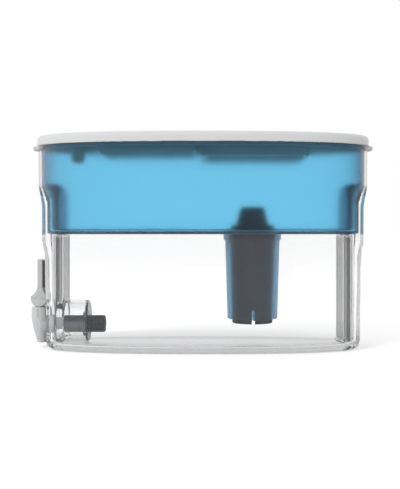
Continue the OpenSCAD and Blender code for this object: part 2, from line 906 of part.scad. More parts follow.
// Helix of round wire that stands between the seal's disc and the bonnet
module return_spring() {
    low = valve_z + run_gap + seal_disc_t + spring_wire_r + run_gap;
    high = housing_top - bonnet_depth - spring_wire_r - run_gap;
    last = spring_turns * spring_steps;
    points = [
        for (i = [0:last], k = [0:spring_sides - 1])
            let (
                turn = 360 * i / spring_steps,
                side = 360 * k / spring_sides,
                r = spring_coil_r + spring_wire_r * cos(side)
            )
                [r * cos(turn), r * sin(turn), low + (high - low) * i / last + spring_wire_r * sin(side)]
    ];
    faces = concat(
        [[for (k = [0:spring_sides - 1]) k]],
        [
            for (i = [0:last - 1], k = [0:spring_sides - 1])
                let (a = i * spring_sides + k, b = i * spring_sides + (k + 1) % spring_sides)
                    each [[a, a + spring_sides, b + spring_sides], [a, b + spring_sides, b]]
        ],
        [[for (k = [spring_sides - 1:-1:0]) last * spring_sides + k]]
    );
    color("silver") valve_frame() polyhedron(points = points, faces = faces);
}

module tap_shank() {
    collar_end = pocket_depth - gasket_t;
    stub_end = pocket_end + washer_t + nut_len - nut_lip - strainer_t - run_gap;
    color("dimgray")
    tap_frame()
        difference() {
            union() {
                translate([-neck_end, 0, 0]) rod_x(spigot_r, spigot_len);
                translate([-collar_end, 0, 0]) rod_x(shank_r, collar_end - neck_end);
                translate([-collar_end, 0, 0]) rod_x(shank_collar_r, collar_t);
                translate([-stub_end, 0, 0]) rod_x(stub_r, stub_end - collar_end);
            }
            translate([-stub_end - over, 0, 0]) rod_x(bore_r, stub_end + spigot_len + over);
            translate([seal_u - seal_groove_w / 2, 0, 0])
                difference() {
                    rod_x(spigot_r + over, seal_groove_w);
                    translate([-over, 0, 0])
                        rod_x(spigot_r - 2 * seal_wire_r, seal_groove_w + 2 * over);
                }
        }
}

module shank_seal() {
    color("black")
    tap_frame()
        translate([seal_u, 0, 0])
            rotate([0, 90, 0])
                rotate_extrude() translate([spigot_r - seal_wire_r, 0]) circle(seal_wire_r);
}

// Flat ring on the shank's axis, from a depth inwards
module shank_ring(depth, thick, r_out, r_in) {
    tap_frame()
        translate([-depth - thick, 0, 0])
            difference() {
                rod_x(r_out, thick);
                translate([-over, 0, 0]) rod_x(r_in, thick + 2 * over);
            }
}

module shank_gasket() {
    color("black") shank_ring(pocket_depth - gasket_t, gasket_t, shank_collar_r, stub_r + run_gap);
}

module nut_washer() {
    color("dimgray") shank_ring(pocket_end, washer_t, nut_r - near_gap, stub_r + run_gap);
}

module lock_nut() {
    chamfer = nut_lip;
    rib_count = 10;
    start = pocket_end + washer_t;
    color("dimgray")
    tap_frame()
        translate([-start - nut_len, 0, 0])
            difference() {
                union() {
                    rod_x(nut_r - chamfer, chamfer, nut_r);
                    translate([chamfer, 0, 0]) rod_x(nut_r, nut_len - chamfer);
                }
                translate([nut_lip, 0, 0]) rod_x(stub_r + run_gap, nut_len);
                translate([-over, 0, 0]) rod_x(bore_r, nut_len);
                for (i = [0:rib_count - 1])
                    rotate([360 * i / rib_count, 0, 0])
                        translate([2 * chamfer, 0, nut_r + chamfer / 2])
                            rod_x(chamfer, nut_len - 4 * chamfer);
            }
}

module inlet_strainer() {
    depth = pocket_end + washer_t + nut_len - nut_lip - strainer_t;
    hole_r = bore_r / 4;
    color("silver")
    tap_frame()
        translate([-depth - strainer_t, 0, 0])
            difference() {
                rod_x(stub_r, strainer_t);
                for (i = [0:hole_count - 1])
                    rotate([360 * i / hole_count, 0, 0])
                        translate([-over, 0, bore_r - 1.5 * hole_r]) rod_x(hole_r, strainer_t + 2 * over);
            }
}

tank();
reservoir();
lid();
fill_door();
fill_door_pin();
change_dial();
dial_clip();
cartridge_body();
cartridge_cap();
cartridge_seal();
cap_screen();
outlet_screen();
filter_media();
tap_body();
tap_bonnet();
tap_lever();
lever_pin();
valve_stem();
valve_seal();
return_spring();
tap_shank();
shank_seal();
shank_gasket();
nut_washer();
lock_nut();
inlet_strainer();
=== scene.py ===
"""Looks of an oval gravity water filter with a lever tap.

Shapes are worked out in millimetres in the frame's own axes and scaled once, when a mesh is made.
"""

import math

import bmesh
import bpy
import numpy as np
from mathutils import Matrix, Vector


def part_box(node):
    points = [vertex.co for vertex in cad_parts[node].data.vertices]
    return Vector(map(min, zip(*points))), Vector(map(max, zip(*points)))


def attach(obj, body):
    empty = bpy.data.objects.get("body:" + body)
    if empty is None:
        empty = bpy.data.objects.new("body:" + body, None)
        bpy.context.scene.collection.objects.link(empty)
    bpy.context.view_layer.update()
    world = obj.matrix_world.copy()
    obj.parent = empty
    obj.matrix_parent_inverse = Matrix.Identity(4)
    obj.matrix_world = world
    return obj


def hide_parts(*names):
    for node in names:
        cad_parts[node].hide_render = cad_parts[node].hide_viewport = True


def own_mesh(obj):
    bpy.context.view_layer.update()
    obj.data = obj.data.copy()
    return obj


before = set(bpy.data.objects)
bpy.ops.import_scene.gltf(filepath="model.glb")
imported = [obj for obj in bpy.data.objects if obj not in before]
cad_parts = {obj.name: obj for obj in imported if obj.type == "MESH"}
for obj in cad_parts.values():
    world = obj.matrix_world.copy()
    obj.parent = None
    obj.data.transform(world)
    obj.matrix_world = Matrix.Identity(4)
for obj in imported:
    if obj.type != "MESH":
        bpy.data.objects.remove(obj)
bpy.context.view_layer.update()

MM = 0.001
# How far a cutting shape runs past the surface that it cuts through, by much and by little
SPARE = 4
OVER = 2

# Floor: its reach, its height, a hair above the tank's underside so that the two never share a plane, its own
# paleness, and the shadow-taking and glowing parts of what the eye sees
STAGE_R = 12000
STAGE_Z = 0.05
FLOOR_PALE = 0.8
FLOOR_SEEN = 0.9
FLOOR_GLOW = 0.45

# Light: the plain world, the white seen in reflections from the far side and the near side, the way between
# them and the stretch of it that the white dims over, then each lamp's place, size and power
WORLD_LIGHT = 0.62
MIRROR_FAR = 1
MIRROR_NEAR = 0.3
MIRROR_WAY = (-0.35, 0.93, 0.1)
MIRROR_SPAN = 0.7
KEY_LAMP = ((-1000, -1350, 1300), (900, 900), 13.5)
FILL_LAMP = ((1500, -1300, 700), (1200, 1200), 1.2)

# Grids that curved shapes are meshed on: steps, where the tank's inside starts, room above the rim and round
# the lid, and what is trimmed off
SHELL_STEP = 1.7
SPACE_STEP = 1.9
TUB_STEP = 2
TUB_SPACE_STEP = 2.2
LID_STEP = 2
TAP_STEP = 0.8
SPACE_LOW = 1
NET_ROOM = 10
LID_ROOM = 5
OVER_LID = 250
TRIM_ROOM = 9
TRIM_H = 20
# Triangles that the tank's shell may keep
SHELL_TRIANGLES = 140000

# Shading: the angle that counts as an edge, how near and along a field a face lies to take its normals, and
# the depth of a grain
EDGE_ANGLE = 35
ON_FIELD = 0.12
ALONG_FIELD = 0.72
BUMP_DEPTH = 0.1

# See-through plastic: how much of its painted shade a ray meets on its way in, and how much of it the tank
# keeps above its step, then how frosted and white the lips are, and where the frost starts and is full
ENTRY_SHADE_SHARE = 0.6
HIGH_SHADE_SHARE = 0.35
FROST_SHARE = 0.7
FROST_PALE = 0.85
FROST_START = 10
FROST_FULL = 1.5


def corners(node):
    """Lowest and highest corner of a CAD node, in millimetres."""
    low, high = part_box(node)
    return np.array(low) / MM, np.array(high) / MM


# Camera. The photograph is 400 by 489 pixels; the eye is at EYE_Z and the object's centre stands at pixel 203
FRAME_W = 400
FRAME_H = 489
FOCAL_PX = 912
CENTRE_PX = 203
HORIZON_PX = 233
EYE_Z = 131
EYE_Y = -1049
SENSOR = 36
# In metres
CLIP = (0.01, 50)

# Tank
_, TANK_HIGH = corners("tank")
LIP_OUT = 6.5
LIP_H = 4
LIP_R = 32
TANK_A = TANK_HIGH[0] - LIP_OUT
TANK_B = TANK_HIGH[1]
TANK_H = TANK_HIGH[2]
TANK_WALL = 2.6
TANK_FLOOR = 5.2
TANK_EDGE_R = 9
FLOOR_R = 7
STEP_LOW = 105
STEP_HIGH = 125
STEP_IN = 2.4
DRAFT_HIGH = 0.6
DRAFT_LOW = 1.6
RIM_WALL = 1.1
RIM_OVER = 3
OVAL_POWER = 2.4

# End recesses and the pocket behind the left one
RECESS_X = TANK_A - 23
RECESS_HALF = 25
RECESS_TOP = TANK_H - 45.2
RECESS_R = 6
RECESS_BACK = 8.8
BACK_TOP = 129.2
POCKET_R = 21.4
POCKET_DEPTH = 32.4
POCKET_Z = 30.4
MOUTH_R = 1.8
NOOK_R = 4
HOLE_R = 6.8

# Reservoir and its well
RES_GAP = 1
RES_INSET = TANK_WALL + RES_GAP
RES_WALL = 2.2
RES_Z = 129.6
RES_FLOOR = 2.8
RES_EDGE_R = 3
FLANGE_T = 2
FLANGE_LAP = 0.5
NOTCH_EDGE_R = 0.8
NEAR = 0.3
WELL_X = 56.6
WELL_R = 31.2
WELL_FOOT_R = 28.6
WELL_FOOT_Z = 33.3
WELL_WALL = 2
WELL_MOUTH_R = 25
COLLAR_R = 33
COLLAR_LOW = 123
COLLAR_TOP = 134
SEAT_TOP = 122.5
SEAT_H = 2
SEAT_R = 26.5

# Cartridge
CART_LOW = corners("cartridge_body")[0][2]
CART_TOP = corners("cartridge_cap")[1][2]
RING_Z = 123.7
RING_H = 5.6
RING_R = 28
CART_R = 26
CART_FOOT_R = 23
CAP_R = 25
CAP_H = 11
CONE_R = 18.5
CONE_TOP_R = 13.5
CART_WALL = 1.6
CART_FLOOR = 2
SLOT_W = 3.5
SLOT_H = 16
PLUG_H = 3.8
SLIT_H = 7
VENTS = 6
VENT_R = 1.6

# Lid, fill door and dial
LID_A = TANK_A + 1.5
LID_B = TANK_B + 1.5
LID_SIDE = 11.8
LID_EDGE_Z = TANK_H + LID_SIDE
LID_CROWN = 4
LID_EDGE_R = 5
LID_WALL = 2.2
FILL_WALL = 1.8
FILL_DEPTH = 13.5
RIB_DEPTH = 8.5
RIB_SHARE = 0.62
RIB_SPACE_R = 0.5
SKIRT_H = 4
DOOR_X = 0.5
DOOR_LEN = 114
DOOR_HALF = 50
DOOR_R = 6
DOOR_T = 2.4
DOOR_GAP = 0.5
DOOR_LEDGE = 3
DOOR_RINGS = (6, 14, 24, 36)
TONGUE_UP = 1.65
HINGE_X = -3
HINGE_Z = 240.6
HINGE_R = 2.6
HINGE_PIN_R = 1.3
HINGE_BED = 2
HINGE_EAR = 6
GROOVE_W = 5.8
GROOVE_R = 0.6
PIN_END = 5.4
NOTCH_R = 11
NOTCH_SHARE = 0.6
DIAL_X = -143.2
DIAL_R = 12
DIAL_T = 1.6
BOSS_R = 7.5
BOSS_DROP = 15.4
BOSS_H = 8
BOSS_EDGE_R = 0.8
PAD_SINK = 2
DIAL_STEM_R = 5
DIAL_BAR_H = 0.8
DIAL_BAR_HALF = 1.5
CLIP_LIP = 1.2
CLIP_GROOVE = 1.6
CLIP_R = 4

# Tap
TAP_Z = 27
SPOUT_X = -185.2
SPOUT_R = 5.8
SPOUT_LOW = 5.7
OUTLET_R = 4
HOUSING_R = 12
HOUSING_TOP = 44.5
SHOULDER_Z = 34
WAIST_Z = 10
WAIST_R = 6.4
CHAMBER_R = 8.5
CHAMBER_LOW_R = 6.8
CHAMBER_STEP_Z = 30
VALVE_Z = 20
BELLY_SHARE = 0.09
NECK_R = 10.5
NECK_END = -RECESS_X + 2
SOCKET_R = 7.45
SOCKET_DEPTH = 12.05
SOCKET_END = 20
MARK_DEPTH = 1.2
MARK_HALF = 1.15
MARK_H = 9
PIVOT_X = -187.2
PIVOT_Z = 56.3
DRUM_R = 9.5
DRUM_HALF = 10
DRUM_WALL = 1.3
CHEEK = 3.2
LEVER_APRON = 4
BLADE_T = 6.3
BLADE_HALF = 9
BLADE_TOP = 101
BLADE_X = PIVOT_X + 1.15
FLARE_R = 14
FLARE_H = 15
FLARE_BLEND = 6
DISH_RIB = 2
DISH_DEPTH = 2.6
LEVER_PIN_R = 1.55
BAR_R = 1.3
BAR_HALF = 8
BAR_IN = 4.6
BAR_DOWN = 3.8
SPRING_LOW, SPRING_HIGH = corners("return_spring")
COIL_R = 4.5
WIRE_R = 0.5
COIL_TURNS = 5

# Shank: its outline as (radius, depth from the recess's wall) up to the collar's end, with its edges' radii,
# then its threaded stub and what sits on that
SHANK_OUTLINE = [(4.8, -8), (7.4, -8), (7.4, -3.9), (5.9, -3.9), (5.9, -2.1), (7.4, -2.1), (7.4, 2), (9.8, 2)]
SHANK_OUTLINE += [(9.8, 28.4), (14, 28.4), (14, 30.8)]
SHANK_EDGES = [0, 0.3, 0, 0, 0, 0, 0, 0.6, 0, 0.5, 0.5]
SHANK_BORE_R = 4.8
STUB_R = 6.5
COLLAR_END = 30.8
THREAD_START = 31.2
THREAD_PITCH = 1.5
GASKET_R = 14
GASKET_T = 1.6
NUT_BORE_R = STUB_R + 0.05
NUT_EDGE = 1.5
FLUTES = 10
FLUTE_R = 1.5
FLUTE_START = 3


def as_object(name, points, faces):
    """A mesh object from points in millimetres."""
    mesh = bpy.data.meshes.new(name)
    mesh.from_pydata((np.asarray(points) * MM).tolist(), [], [list(map(int, f)) for f in faces])
    mesh.validate()
    obj = bpy.data.objects.new(name, mesh)
    bpy.context.collection.objects.link(obj)
    return obj


# Distance fields: negative inside, in millimetres


def both(a, b, r=0.0):
    """Overlap of two fields, its edge rounded to radius r."""
    if not r:
        return np.maximum(a, b)
    return np.minimum(np.maximum(a, b), -r) + np.hypot(np.maximum(a + r, 0), np.maximum(b + r, 0))


def either(a, b, r=0.0):
    """Sum of two fields, the nook between them filled to radius r."""
    return -both(-a, -b, r)


def without(a, b, r=0.0):
    """First field less the second."""
    return both(a, -b, r)


def oval_field(p, a, b):
    """Distance from the wall of an upright oval tube with half-axes a and b."""
    x = np.abs(p[..., 0]) / a
    y = np.abs(p[..., 1]) / b
    size = np.maximum((x**OVAL_POWER + y**OVAL_POWER) ** (1 / OVAL_POWER), 0.05)
    slope = size ** (1 - OVAL_POWER) * np.hypot(x ** (OVAL_POWER - 1) / a, y ** (OVAL_POWER - 1) / b)
    return (size - 1) / np.maximum(slope, 1e-4)


def lean(z):
    """How far the tank's wall has leaned in at height z."""
    step = np.clip((STEP_HIGH - z) / (STEP_HIGH - STEP_LOW), 0, 1)
    step = step * step * (3 - 2 * step)
    high = np.clip((TANK_H - z) / (TANK_H - STEP_HIGH), 0, 1)
    low = np.clip((STEP_LOW - z) / STEP_LOW, 0, 1)
    return DRAFT_HIGH * high + STEP_IN * step + DRAFT_LOW * low


def recess_field(p, grow, back=None):
    """Space of both end recesses, grown by a wall, which may be thicker at the back."""
    x, y, z = np.abs(p[..., 0]), np.abs(p[..., 1]), p[..., 2]
    top = RECESS_TOP + grow
    half = RECESS_HALF + grow
    side = both(RECESS_X - (back or grow) - x, z - top, RECESS_R + grow)
    arch = np.where(z < top - half, y - half, np.hypot(y, z - top + half) - half)
    return both(side, arch, NOOK_R + grow / 2)


def pocket_field(p, grow):
    """Space of the round pocket behind the left recess, grown by a wall."""
    x, y, z = p[..., 0], p[..., 1], p[..., 2]
    round_wall = np.hypot(y, z - POCKET_Z) - POCKET_R - grow
    return both(round_wall, x + RECESS_X - POCKET_DEPTH - grow, 1 + grow / 2)


def lip_field(p):
    """The grip lip at each end of the rim."""
    x, y, z = np.abs(p[..., 0]), p[..., 1], p[..., 2]
    disc = np.hypot(x - TANK_A - LIP_OUT + LIP_R, y) - LIP_R
    return both(disc, TANK_H - LIP_H - z, 1.2)


def tank_outside(p):
    z = p[..., 2]
    wall = either(oval_field(p, TANK_A - lean(z), TANK_B - lean(z)), lip_field(p), 0.8)
    shell = both(without(wall, recess_field(p, 0), MOUTH_R), -z, TANK_EDGE_R)
    return both(without(shell, pocket_field(p, 0), 1.2), z - TANK_H - SPARE)


def tank_inside(p):
    z = p[..., 2]
    inset = lean(z) + TANK_WALL
    back = both(recess_field(p, TANK_WALL, RECESS_BACK), z - BACK_TOP, 0.6)
    walls = either(recess_field(p, TANK_WALL), back)
    space = without(oval_field(p, TANK_A - inset, TANK_B - inset), walls, MOUTH_R)
    space = both(space, TANK_FLOOR - z, FLOOR_R)
    return both(without(space, pocket_field(p, TANK_WALL), 1), z - TANK_H - 2 * SPARE)


def tub_field(p, inset, floor, top):
    """A space like the tank's, drawn in by an inset, between two heights."""
    z = p[..., 2]
    tub = both(oval_field(p, TANK_A - lean(z) - inset, TANK_B - lean(z) - inset), floor - z, RES_EDGE_R)
    return both(without(tub, recess_field(p, inset), NOTCH_EDGE_R), z - top)


def tub_outside(p):
    return tub_field(p, RES_INSET, RES_Z, TANK_H + SPARE)


def tub_inside(p):
    return tub_field(p, RES_INSET + RES_WALL, RES_Z + RES_FLOOR, TANK_H + 2 * SPARE)


def crown_z(x, y):
    """Height of the lid's top above the table."""
    a, b = LID_A - LID_EDGE_R, LID_B - LID_EDGE_R
    reach = (np.abs(x) / a) ** OVAL_POWER + (np.abs(y) / b) ** OVAL_POWER
    return LID_EDGE_Z + LID_CROWN * (1 - np.minimum(reach ** (2 / OVAL_POWER), 1.3))


def lid_field(p, wall, low, edge_r):
    """The lid's solid shape, drawn in by a wall, above a height."""
    z = p[..., 2]
    top = z - crown_z(p[..., 0], p[..., 1]) + wall
    return both(both(oval_field(p, LID_A - wall, LID_B - wall), top, LID_EDGE_R - wall), low - z, edge_r)


def lid_outside(p):
    return lid_field(p, 0, TANK_H + NEAR, 0.8)


def lid_inside(p):
    return lid_field(p, LID_WALL, TANK_H - SPARE, 0)


def slopes(field, points, reach=0.02):
    """Gradient of a field at each point."""
    steps = np.eye(3) * reach
    return np.stack([(field(points + s) - field(points - s)) / (2 * reach) for s in steps], axis=-1)


def surface_net(name, field, low, high, step):
    """Closed quad mesh of a field's zero surface, on a grid of one step, its points settled on it."""
    counts = [int(math.ceil((h - l) / step)) + 1 for l, h in zip(low, high)]
    axes = [l + step * np.arange(n) for l, n in zip(low, counts)]
    grid = np.stack(np.meshgrid(*axes, indexing="ij"), axis=-1)
    value = field(grid)
    cells = [n - 1 for n in counts]
    total = np.zeros((*cells, 3))
    hits = np.zeros(cells, dtype=int)
    edges = []
    for axis in range(3):
        near = tuple(slice(None, -1) if k == axis else slice(None) for k in range(3))
        far = tuple(slice(1, None) if k == axis else slice(None) for k in range(3))
        crossed = (value[near] < 0) != (value[far] < 0)
        share = np.where(crossed, value[near] / np.where(crossed, value[near] - value[far], 1), 0)
        point = grid[near].copy()
        point[..., axis] += share * step
        u, v = [k for k in range(3) if k != axis]
        for du in (0, 1):
            for dv in (0, 1):
                part = [slice(None)] * 3
                part[u] = slice(du, du + cells[u])
                part[v] = slice(dv, dv + cells[v])
                part = tuple(part)
                total += np.where(crossed[part][..., None], point[part], 0)
                hits += crossed[part]
        edges.append((axis, u, v, crossed, value[near] < 0))
    number = np.full(cells, -1)
    number[hits > 0] = np.arange(np.count_nonzero(hits))
    points = total[hits > 0] / hits[hits > 0][:, None]
    faces = []
    for axis, u, v, crossed, inside in edges:
        place = np.argwhere(crossed)
        row, column = place[:, u], place[:, v]
        place = place[(row > 0) & (column > 0) & (row < cells[u]) & (column < cells[v])]
        quad = []
        for du, dv in ((1, 1), (0, 1), (0, 0), (1, 0)):
            cell = place.copy()
            cell[:, u] -= du
            cell[:, v] -= dv
            quad.append(number[tuple(cell.T)])
        quad = np.stack(quad, axis=-1)
        flip = inside[tuple(place.T)] != (axis == 1)
        quad[~flip] = quad[~flip][:, ::-1]
        faces.append(quad)
    for _ in range(4):
        slope = slopes(field, points)
        move = field(points)[:, None] * slope / np.maximum((slope**2).sum(-1, keepdims=True), 0.2)
        points -= np.clip(move, -step / 2, step / 2)
    return as_object(name, points, np.concatenate(faces))


def oval_loop(a, b, z, count=288):
    """Ring of points on an oval."""
    turn = 2 * np.pi * np.arange(count) / count
    x = a * np.sign(np.cos(turn)) * np.abs(np.cos(turn)) ** (2 / OVAL_POWER)
    y = b * np.sign(np.sin(turn)) * np.abs(np.sin(turn)) ** (2 / OVAL_POWER)
    return np.stack([x, y, np.full(count, float(z))], axis=-1)


def rim_loops(inset, *heights):
    """Rings of the tank's oval, drawn in by an inset, one at each height."""
    return [oval_loop(TANK_A - inset, TANK_B - inset, z) for z in heights]


def rect_loop(x0, x1, half, r, z, steps=8, side=14):
    """Ring of points on a rectangle with round corners; z is a height or a function of x and y."""
    flat = []
    arcs = (x1 - r, half - r, 0), (x0 + r, half - r, 90), (x0 + r, r - half, 180), (x1 - r, r - half, 270)
    for cx, cy, start in arcs:
        for i in range(steps + 1):
            turn = math.radians(start + 90 * i / steps)
            flat.append((cx + r * math.cos(turn), cy + r * math.sin(turn)))
    full = []
    for (ax, ay), (bx, by) in zip(flat, flat[1:] + flat[:1]):
        cuts = side if math.hypot(bx - ax, by - ay) > r + 1 else 1
        full += [(ax + (bx - ax) * k / cuts, ay + (by - ay) * k / cuts) for k in range(cuts)]
    flat = np.array(full)
    height = z(flat[:, 0], flat[:, 1]) if callable(z) else np.full(len(flat), float(z))
    return np.column_stack([flat, height])


def loft(name, loops):
    """Closed mesh through a stack of rings with equal counts, lowest first."""
    count = len(loops[0])
    faces = [list(range(count))[::-1]]
    for k in range(len(loops) - 1):
        for i in range(count):
            a, b = k * count + i, k * count + (i + 1) % count
            faces.append([a, b, b + count, a + count])
    last = (len(loops) - 1) * count
    faces.append([last + i for i in range(count)])
    return as_object(name, np.concatenate(loops), faces)


def slab(name, x0, x1, half, r, *heights):
    """Block with round corners between two heights."""
    return loft(name, [rect_loop(x0, x1, half, r, z) for z in heights])


def soften(points, radius, steps=5):
    """Polyline with each inner corner turned into an arc; radius is one number or one for each point."""
    points = [np.array(p, float) for p in points]
    radii = [radius] * len(points) if np.isscalar(radius) else radius
    done = [points[0]]
    for before, here, after, r in zip(points, points[1:], points[2:], radii[1:]):
        a, b = before - here, after - here
        la, lb = np.linalg.norm(a), np.linalg.norm(b)
        a, b = a / la, b / lb
        half = math.acos(max(-1, min(1, float(a @ b)))) / 2
        reach = min(r / math.tan(half), la * 0.48, lb * 0.48) if r else 0
        if reach < 0.01:
            done.append(here)
            continue
        r = reach * math.tan(half)
        middle = here + (a + b) / np.linalg.norm(a + b) * (r / math.sin(half))
        start, end = here + a * reach - middle, here + b * reach - middle
        t0 = math.atan2(start[1], start[0])
        t1 = math.atan2(end[1], end[0])
        turn = (t1 - t0 + math.pi) % (2 * math.pi) - math.pi
        for i in range(steps + 1):
            t = t0 + turn * i / steps
            done.append(middle + r * np.array([math.cos(t), math.sin(t)]))
    done.append(points[-1])
    return done


def lathe(name, profile, centre, along="Z", segments=96):
    """Closed mesh turned from (radius, height) points round an axis through centre. A profile that starts and
    ends off the axis is closed into a ring."""
    ring = profile[0][0] > 0.001
    turns = [2 * math.pi * i / segments for i in range(segments)]
    points, rows = [], []
    for r, h in profile:
        if r < 0.001:
            rows.append([len(points)] * segments)
            points.append((0, 0, h))
        else:
            rows.append(list(range(len(points), len(points) + segments)))
            points += [(r * math.cos(t), r * math.sin(t), h) for t in turns]
    pairs = list(zip(rows, rows[1:] + rows[:1] if ring else rows[1:]))
    faces = []
    for low, high in pairs:
        for i in range(segments):
            k = (i + 1) % segments
            face = [low[i], low[k], high[k], high[i]]
            face = [v for n, v in enumerate(face) if v not in face[:n]]
            if len(face) > 2:
                faces.append(face)
    points = np.array(points, float)
    if along == "X":
        points = points[:, [2, 0, 1]]
    if along == "Y":
        points = points[:, [1, 2, 0]]
    return tidy(as_object(name, points + np.array(centre, float), faces))


def rod(name, r, low, high, centre, along="Z", segments=96, edge_r=0):
    """Round bar between two heights on an axis, its edges softened."""
    return lathe(name, soften([(0, low), (r, low), (r, high), (0, high)], edge_r), centre, along, segments)


def tidy(obj):
    """Merges doubled points and turns every face outwards."""
    shape = bmesh.new()
    shape.from_mesh(obj.data)
    bmesh.ops.remove_doubles(shape, verts=shape.verts, dist=1e-7)
    bmesh.ops.recalc_face_normals(shape, faces=shape.faces)
    shape.to_mesh(obj.data)
    shape.free()
    return obj


def bake(obj):
    """Turns an object's mesh into what its modifier makes of it."""
    bpy.context.view_layer.update()
    result = bpy.data.meshes.new_from_object(obj.evaluated_get(bpy.context.evaluated_depsgraph_get()))
    obj.modifiers.clear()
    old = obj.data
    obj.data = result
    bpy.data.meshes.remove(old)


def boolean(target, tool, how):
    """Joins the target with a tool or cuts it, and uses the tool up."""
    step = target.modifiers.new("step", "BOOLEAN")
    step.operation = how
    step.solver = "MANIFOLD"
    step.object = tool
    bake(target)
    if not len(target.data.vertices):
        raise RuntimeError(f"{target.name}: nothing is left after {how} with {tool.name}")
    bpy.data.objects.remove(tool)
    return target


def add(target, tool):
    return boolean(target, tool, "UNION")


def cut(target, tool):
    return boolean(target, tool, "DIFFERENCE")


def drill(target, *size):
    """Bores a round hole, its size given as for a rod."""
    cut(target, rod(*size))


def thin_out(obj, most):
    """Leaves no more than so many triangles, the most of them where the shape bends."""
    obj.data.calc_loop_triangles()
    step = obj.modifiers.new("thin_out", "DECIMATE")
    step.ratio = min(1, most / len(obj.data.loop_triangles))
    bake(obj)


def block(name, low, high):
    """Plain box, used as a cutting tool."""
    (x0, y0, z0), (x1, y1, z1) = low, high
    points = [(x, y, z) for z in (z0, z1) for x, y in ((x0, y0), (x1, y0), (x1, y1), (x0, y1))]
    faces = [(3, 2, 1, 0), (4, 5, 6, 7), (0, 1, 5, 4), (1, 2, 6, 5), (2, 3, 7, 6), (3, 0, 4, 7)]
    return as_object(name, points, faces)


def vectors(items, key):
    """One vector of each item of a mesh, as rows."""
    found = np.empty(len(items) * 3, np.float32)
    items.foreach_get(key, found)
    return found.reshape(-1, 3).astype(float)


def finish_normals(obj, fields):
    """Smooth shading split at sharp edges. A face that lies on a field takes the field's own normals."""
    mesh = obj.data
    mesh.shade_smooth()
    mesh.set_sharp_from_angle(angle=math.radians(EDGE_ANGLE))
    if not fields:
        return
    points = vectors(mesh.vertices, "co") / MM
    best = vectors(mesh.corner_normals, "vector")
    face_of = np.repeat(np.arange(len(mesh.polygons)), [face.loop_total for face in mesh.polygons])
    flat = vectors(mesh.polygon_normals, "vector")[face_of]
    vert_of = np.empty(len(mesh.loops), np.int32)
    mesh.loops.foreach_get("vertex_index", vert_of)
    for field, sign in fields:
        near = np.abs(field(points)) < ON_FIELD
        slope = slopes(field, points)
        slope /= np.maximum(np.linalg.norm(slope, axis=-1, keepdims=True), 1e-6)
        slope = slope[vert_of] * sign
        fits = near[vert_of] & ((slope * flat).sum(-1) > ALONG_FIELD)
        best[fits] = slope[fits]
    mesh.normals_split_custom_set(best.tolist())


def hand_over(obj, body, look, cad_node, fields=()):
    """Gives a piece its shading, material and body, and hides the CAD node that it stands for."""
    finish_normals(obj, fields)
    obj.data.materials.clear()
    obj.data.materials.append(look)
    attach(obj, body)
    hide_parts(cad_node)


# Materials


def material(name):
    """A new node material with an empty Principled shader: (material, its node tree, the shader)."""
    made = bpy.data.materials.new(name)
    made.use_nodes = True
    return made, made.node_tree, made.node_tree.nodes["Principled BSDF"]


def node(tree, kind, **values):
    """A node with its sockets or settings set by name."""
    made = tree.nodes.new(kind)
    for key, value in values.items():
        if key in made.inputs:
            made.inputs[key].default_value = value
        else:
            setattr(made, key.lower(), value)
    return made


def maths(tree, operation, first, second=None):
    """Result of a Math node on sockets or numbers."""
    made = node(tree, "ShaderNodeMath", operation=operation)
    for value, socket in zip((first, second), made.inputs):
        if isinstance(value, bpy.types.NodeSocket):
            tree.links.new(value, socket)
        elif value is not None:
            socket.default_value = value
    return made.outputs[0]


def times(tree, first, *others):
    for other in others:
        first = maths(tree, "MULTIPLY", first, other)
    return first


def ramp(tree, value, start=0, end=1, low=0, high=1, **settings):
    """A value's stretch from start to end spread over low to high, and held beyond its ends."""
    ends = {"From Min": start, "From Max": end, "To Min": low, "To Max": high}
    span = node(tree, "ShaderNodeMapRange", **ends, **settings)
    tree.links.new(value, span.inputs["Value"])
    return span.outputs["Result"]


def coords(tree, output="Object"):
    return node(tree, "ShaderNodeTexCoord").outputs[output]


def axis_of(tree, vector, axis):
    split = node(tree, "ShaderNodeSeparateXYZ")
    tree.links.new(vector, split.inputs["Vector"])
    return split.outputs[axis]


def noise(tree, scale, detail):
    """Noise in the object's own coordinates."""
    made = node(tree, "ShaderNodeTexNoise", Scale=scale, Detail=detail)
    tree.links.new(coords(tree), made.inputs["Vector"])
    return made.outputs["Fac"]


def matt(tree, colour):
    return node(tree, "ShaderNodeBsdfDiffuse", Color=(*colour, 1)).outputs[0]


def mixed(tree, share, first, second):
    """Two shaders mixed, by the share of the second."""
    made = node(tree, "ShaderNodeMixShader")
    for source, socket in zip((share, first, second), made.inputs):
        tree.links.new(source, socket)
    return made.outputs[0]


def grain(tree, shader, scale, strength):
    """Fine moulded texture as a bump."""
    fine = noise(tree, scale, 3)
    bump = node(tree, "ShaderNodeBump", Strength=strength, Distance=BUMP_DEPTH * MM)
    tree.links.new(fine, bump.inputs["Height"])
    tree.links.new(bump.outputs["Normal"], shader.inputs["Normal"])
    return fine


def mottle(tree, share, shader, rough, swing):
    """Roughness that drifts to both sides of its value by a swing."""
    drift = ramp(tree, share, low=rough * (1 - swing), high=rough * (1 + swing))
    tree.links.new(drift, shader.inputs["Roughness"])


def tint(tree, share, shader, first, second):
    """Base colour that moves from one colour to another."""
    mix = node(tree, "ShaderNodeMix", data_type="RGBA")
    mix.inputs["A"].default_value = (*first, 1)
    mix.inputs["B"].default_value = (*second, 1)
    tree.links.new(share, mix.inputs["Factor"])
    tree.links.new(mix.outputs["Result"], shader.inputs["Base Color"])


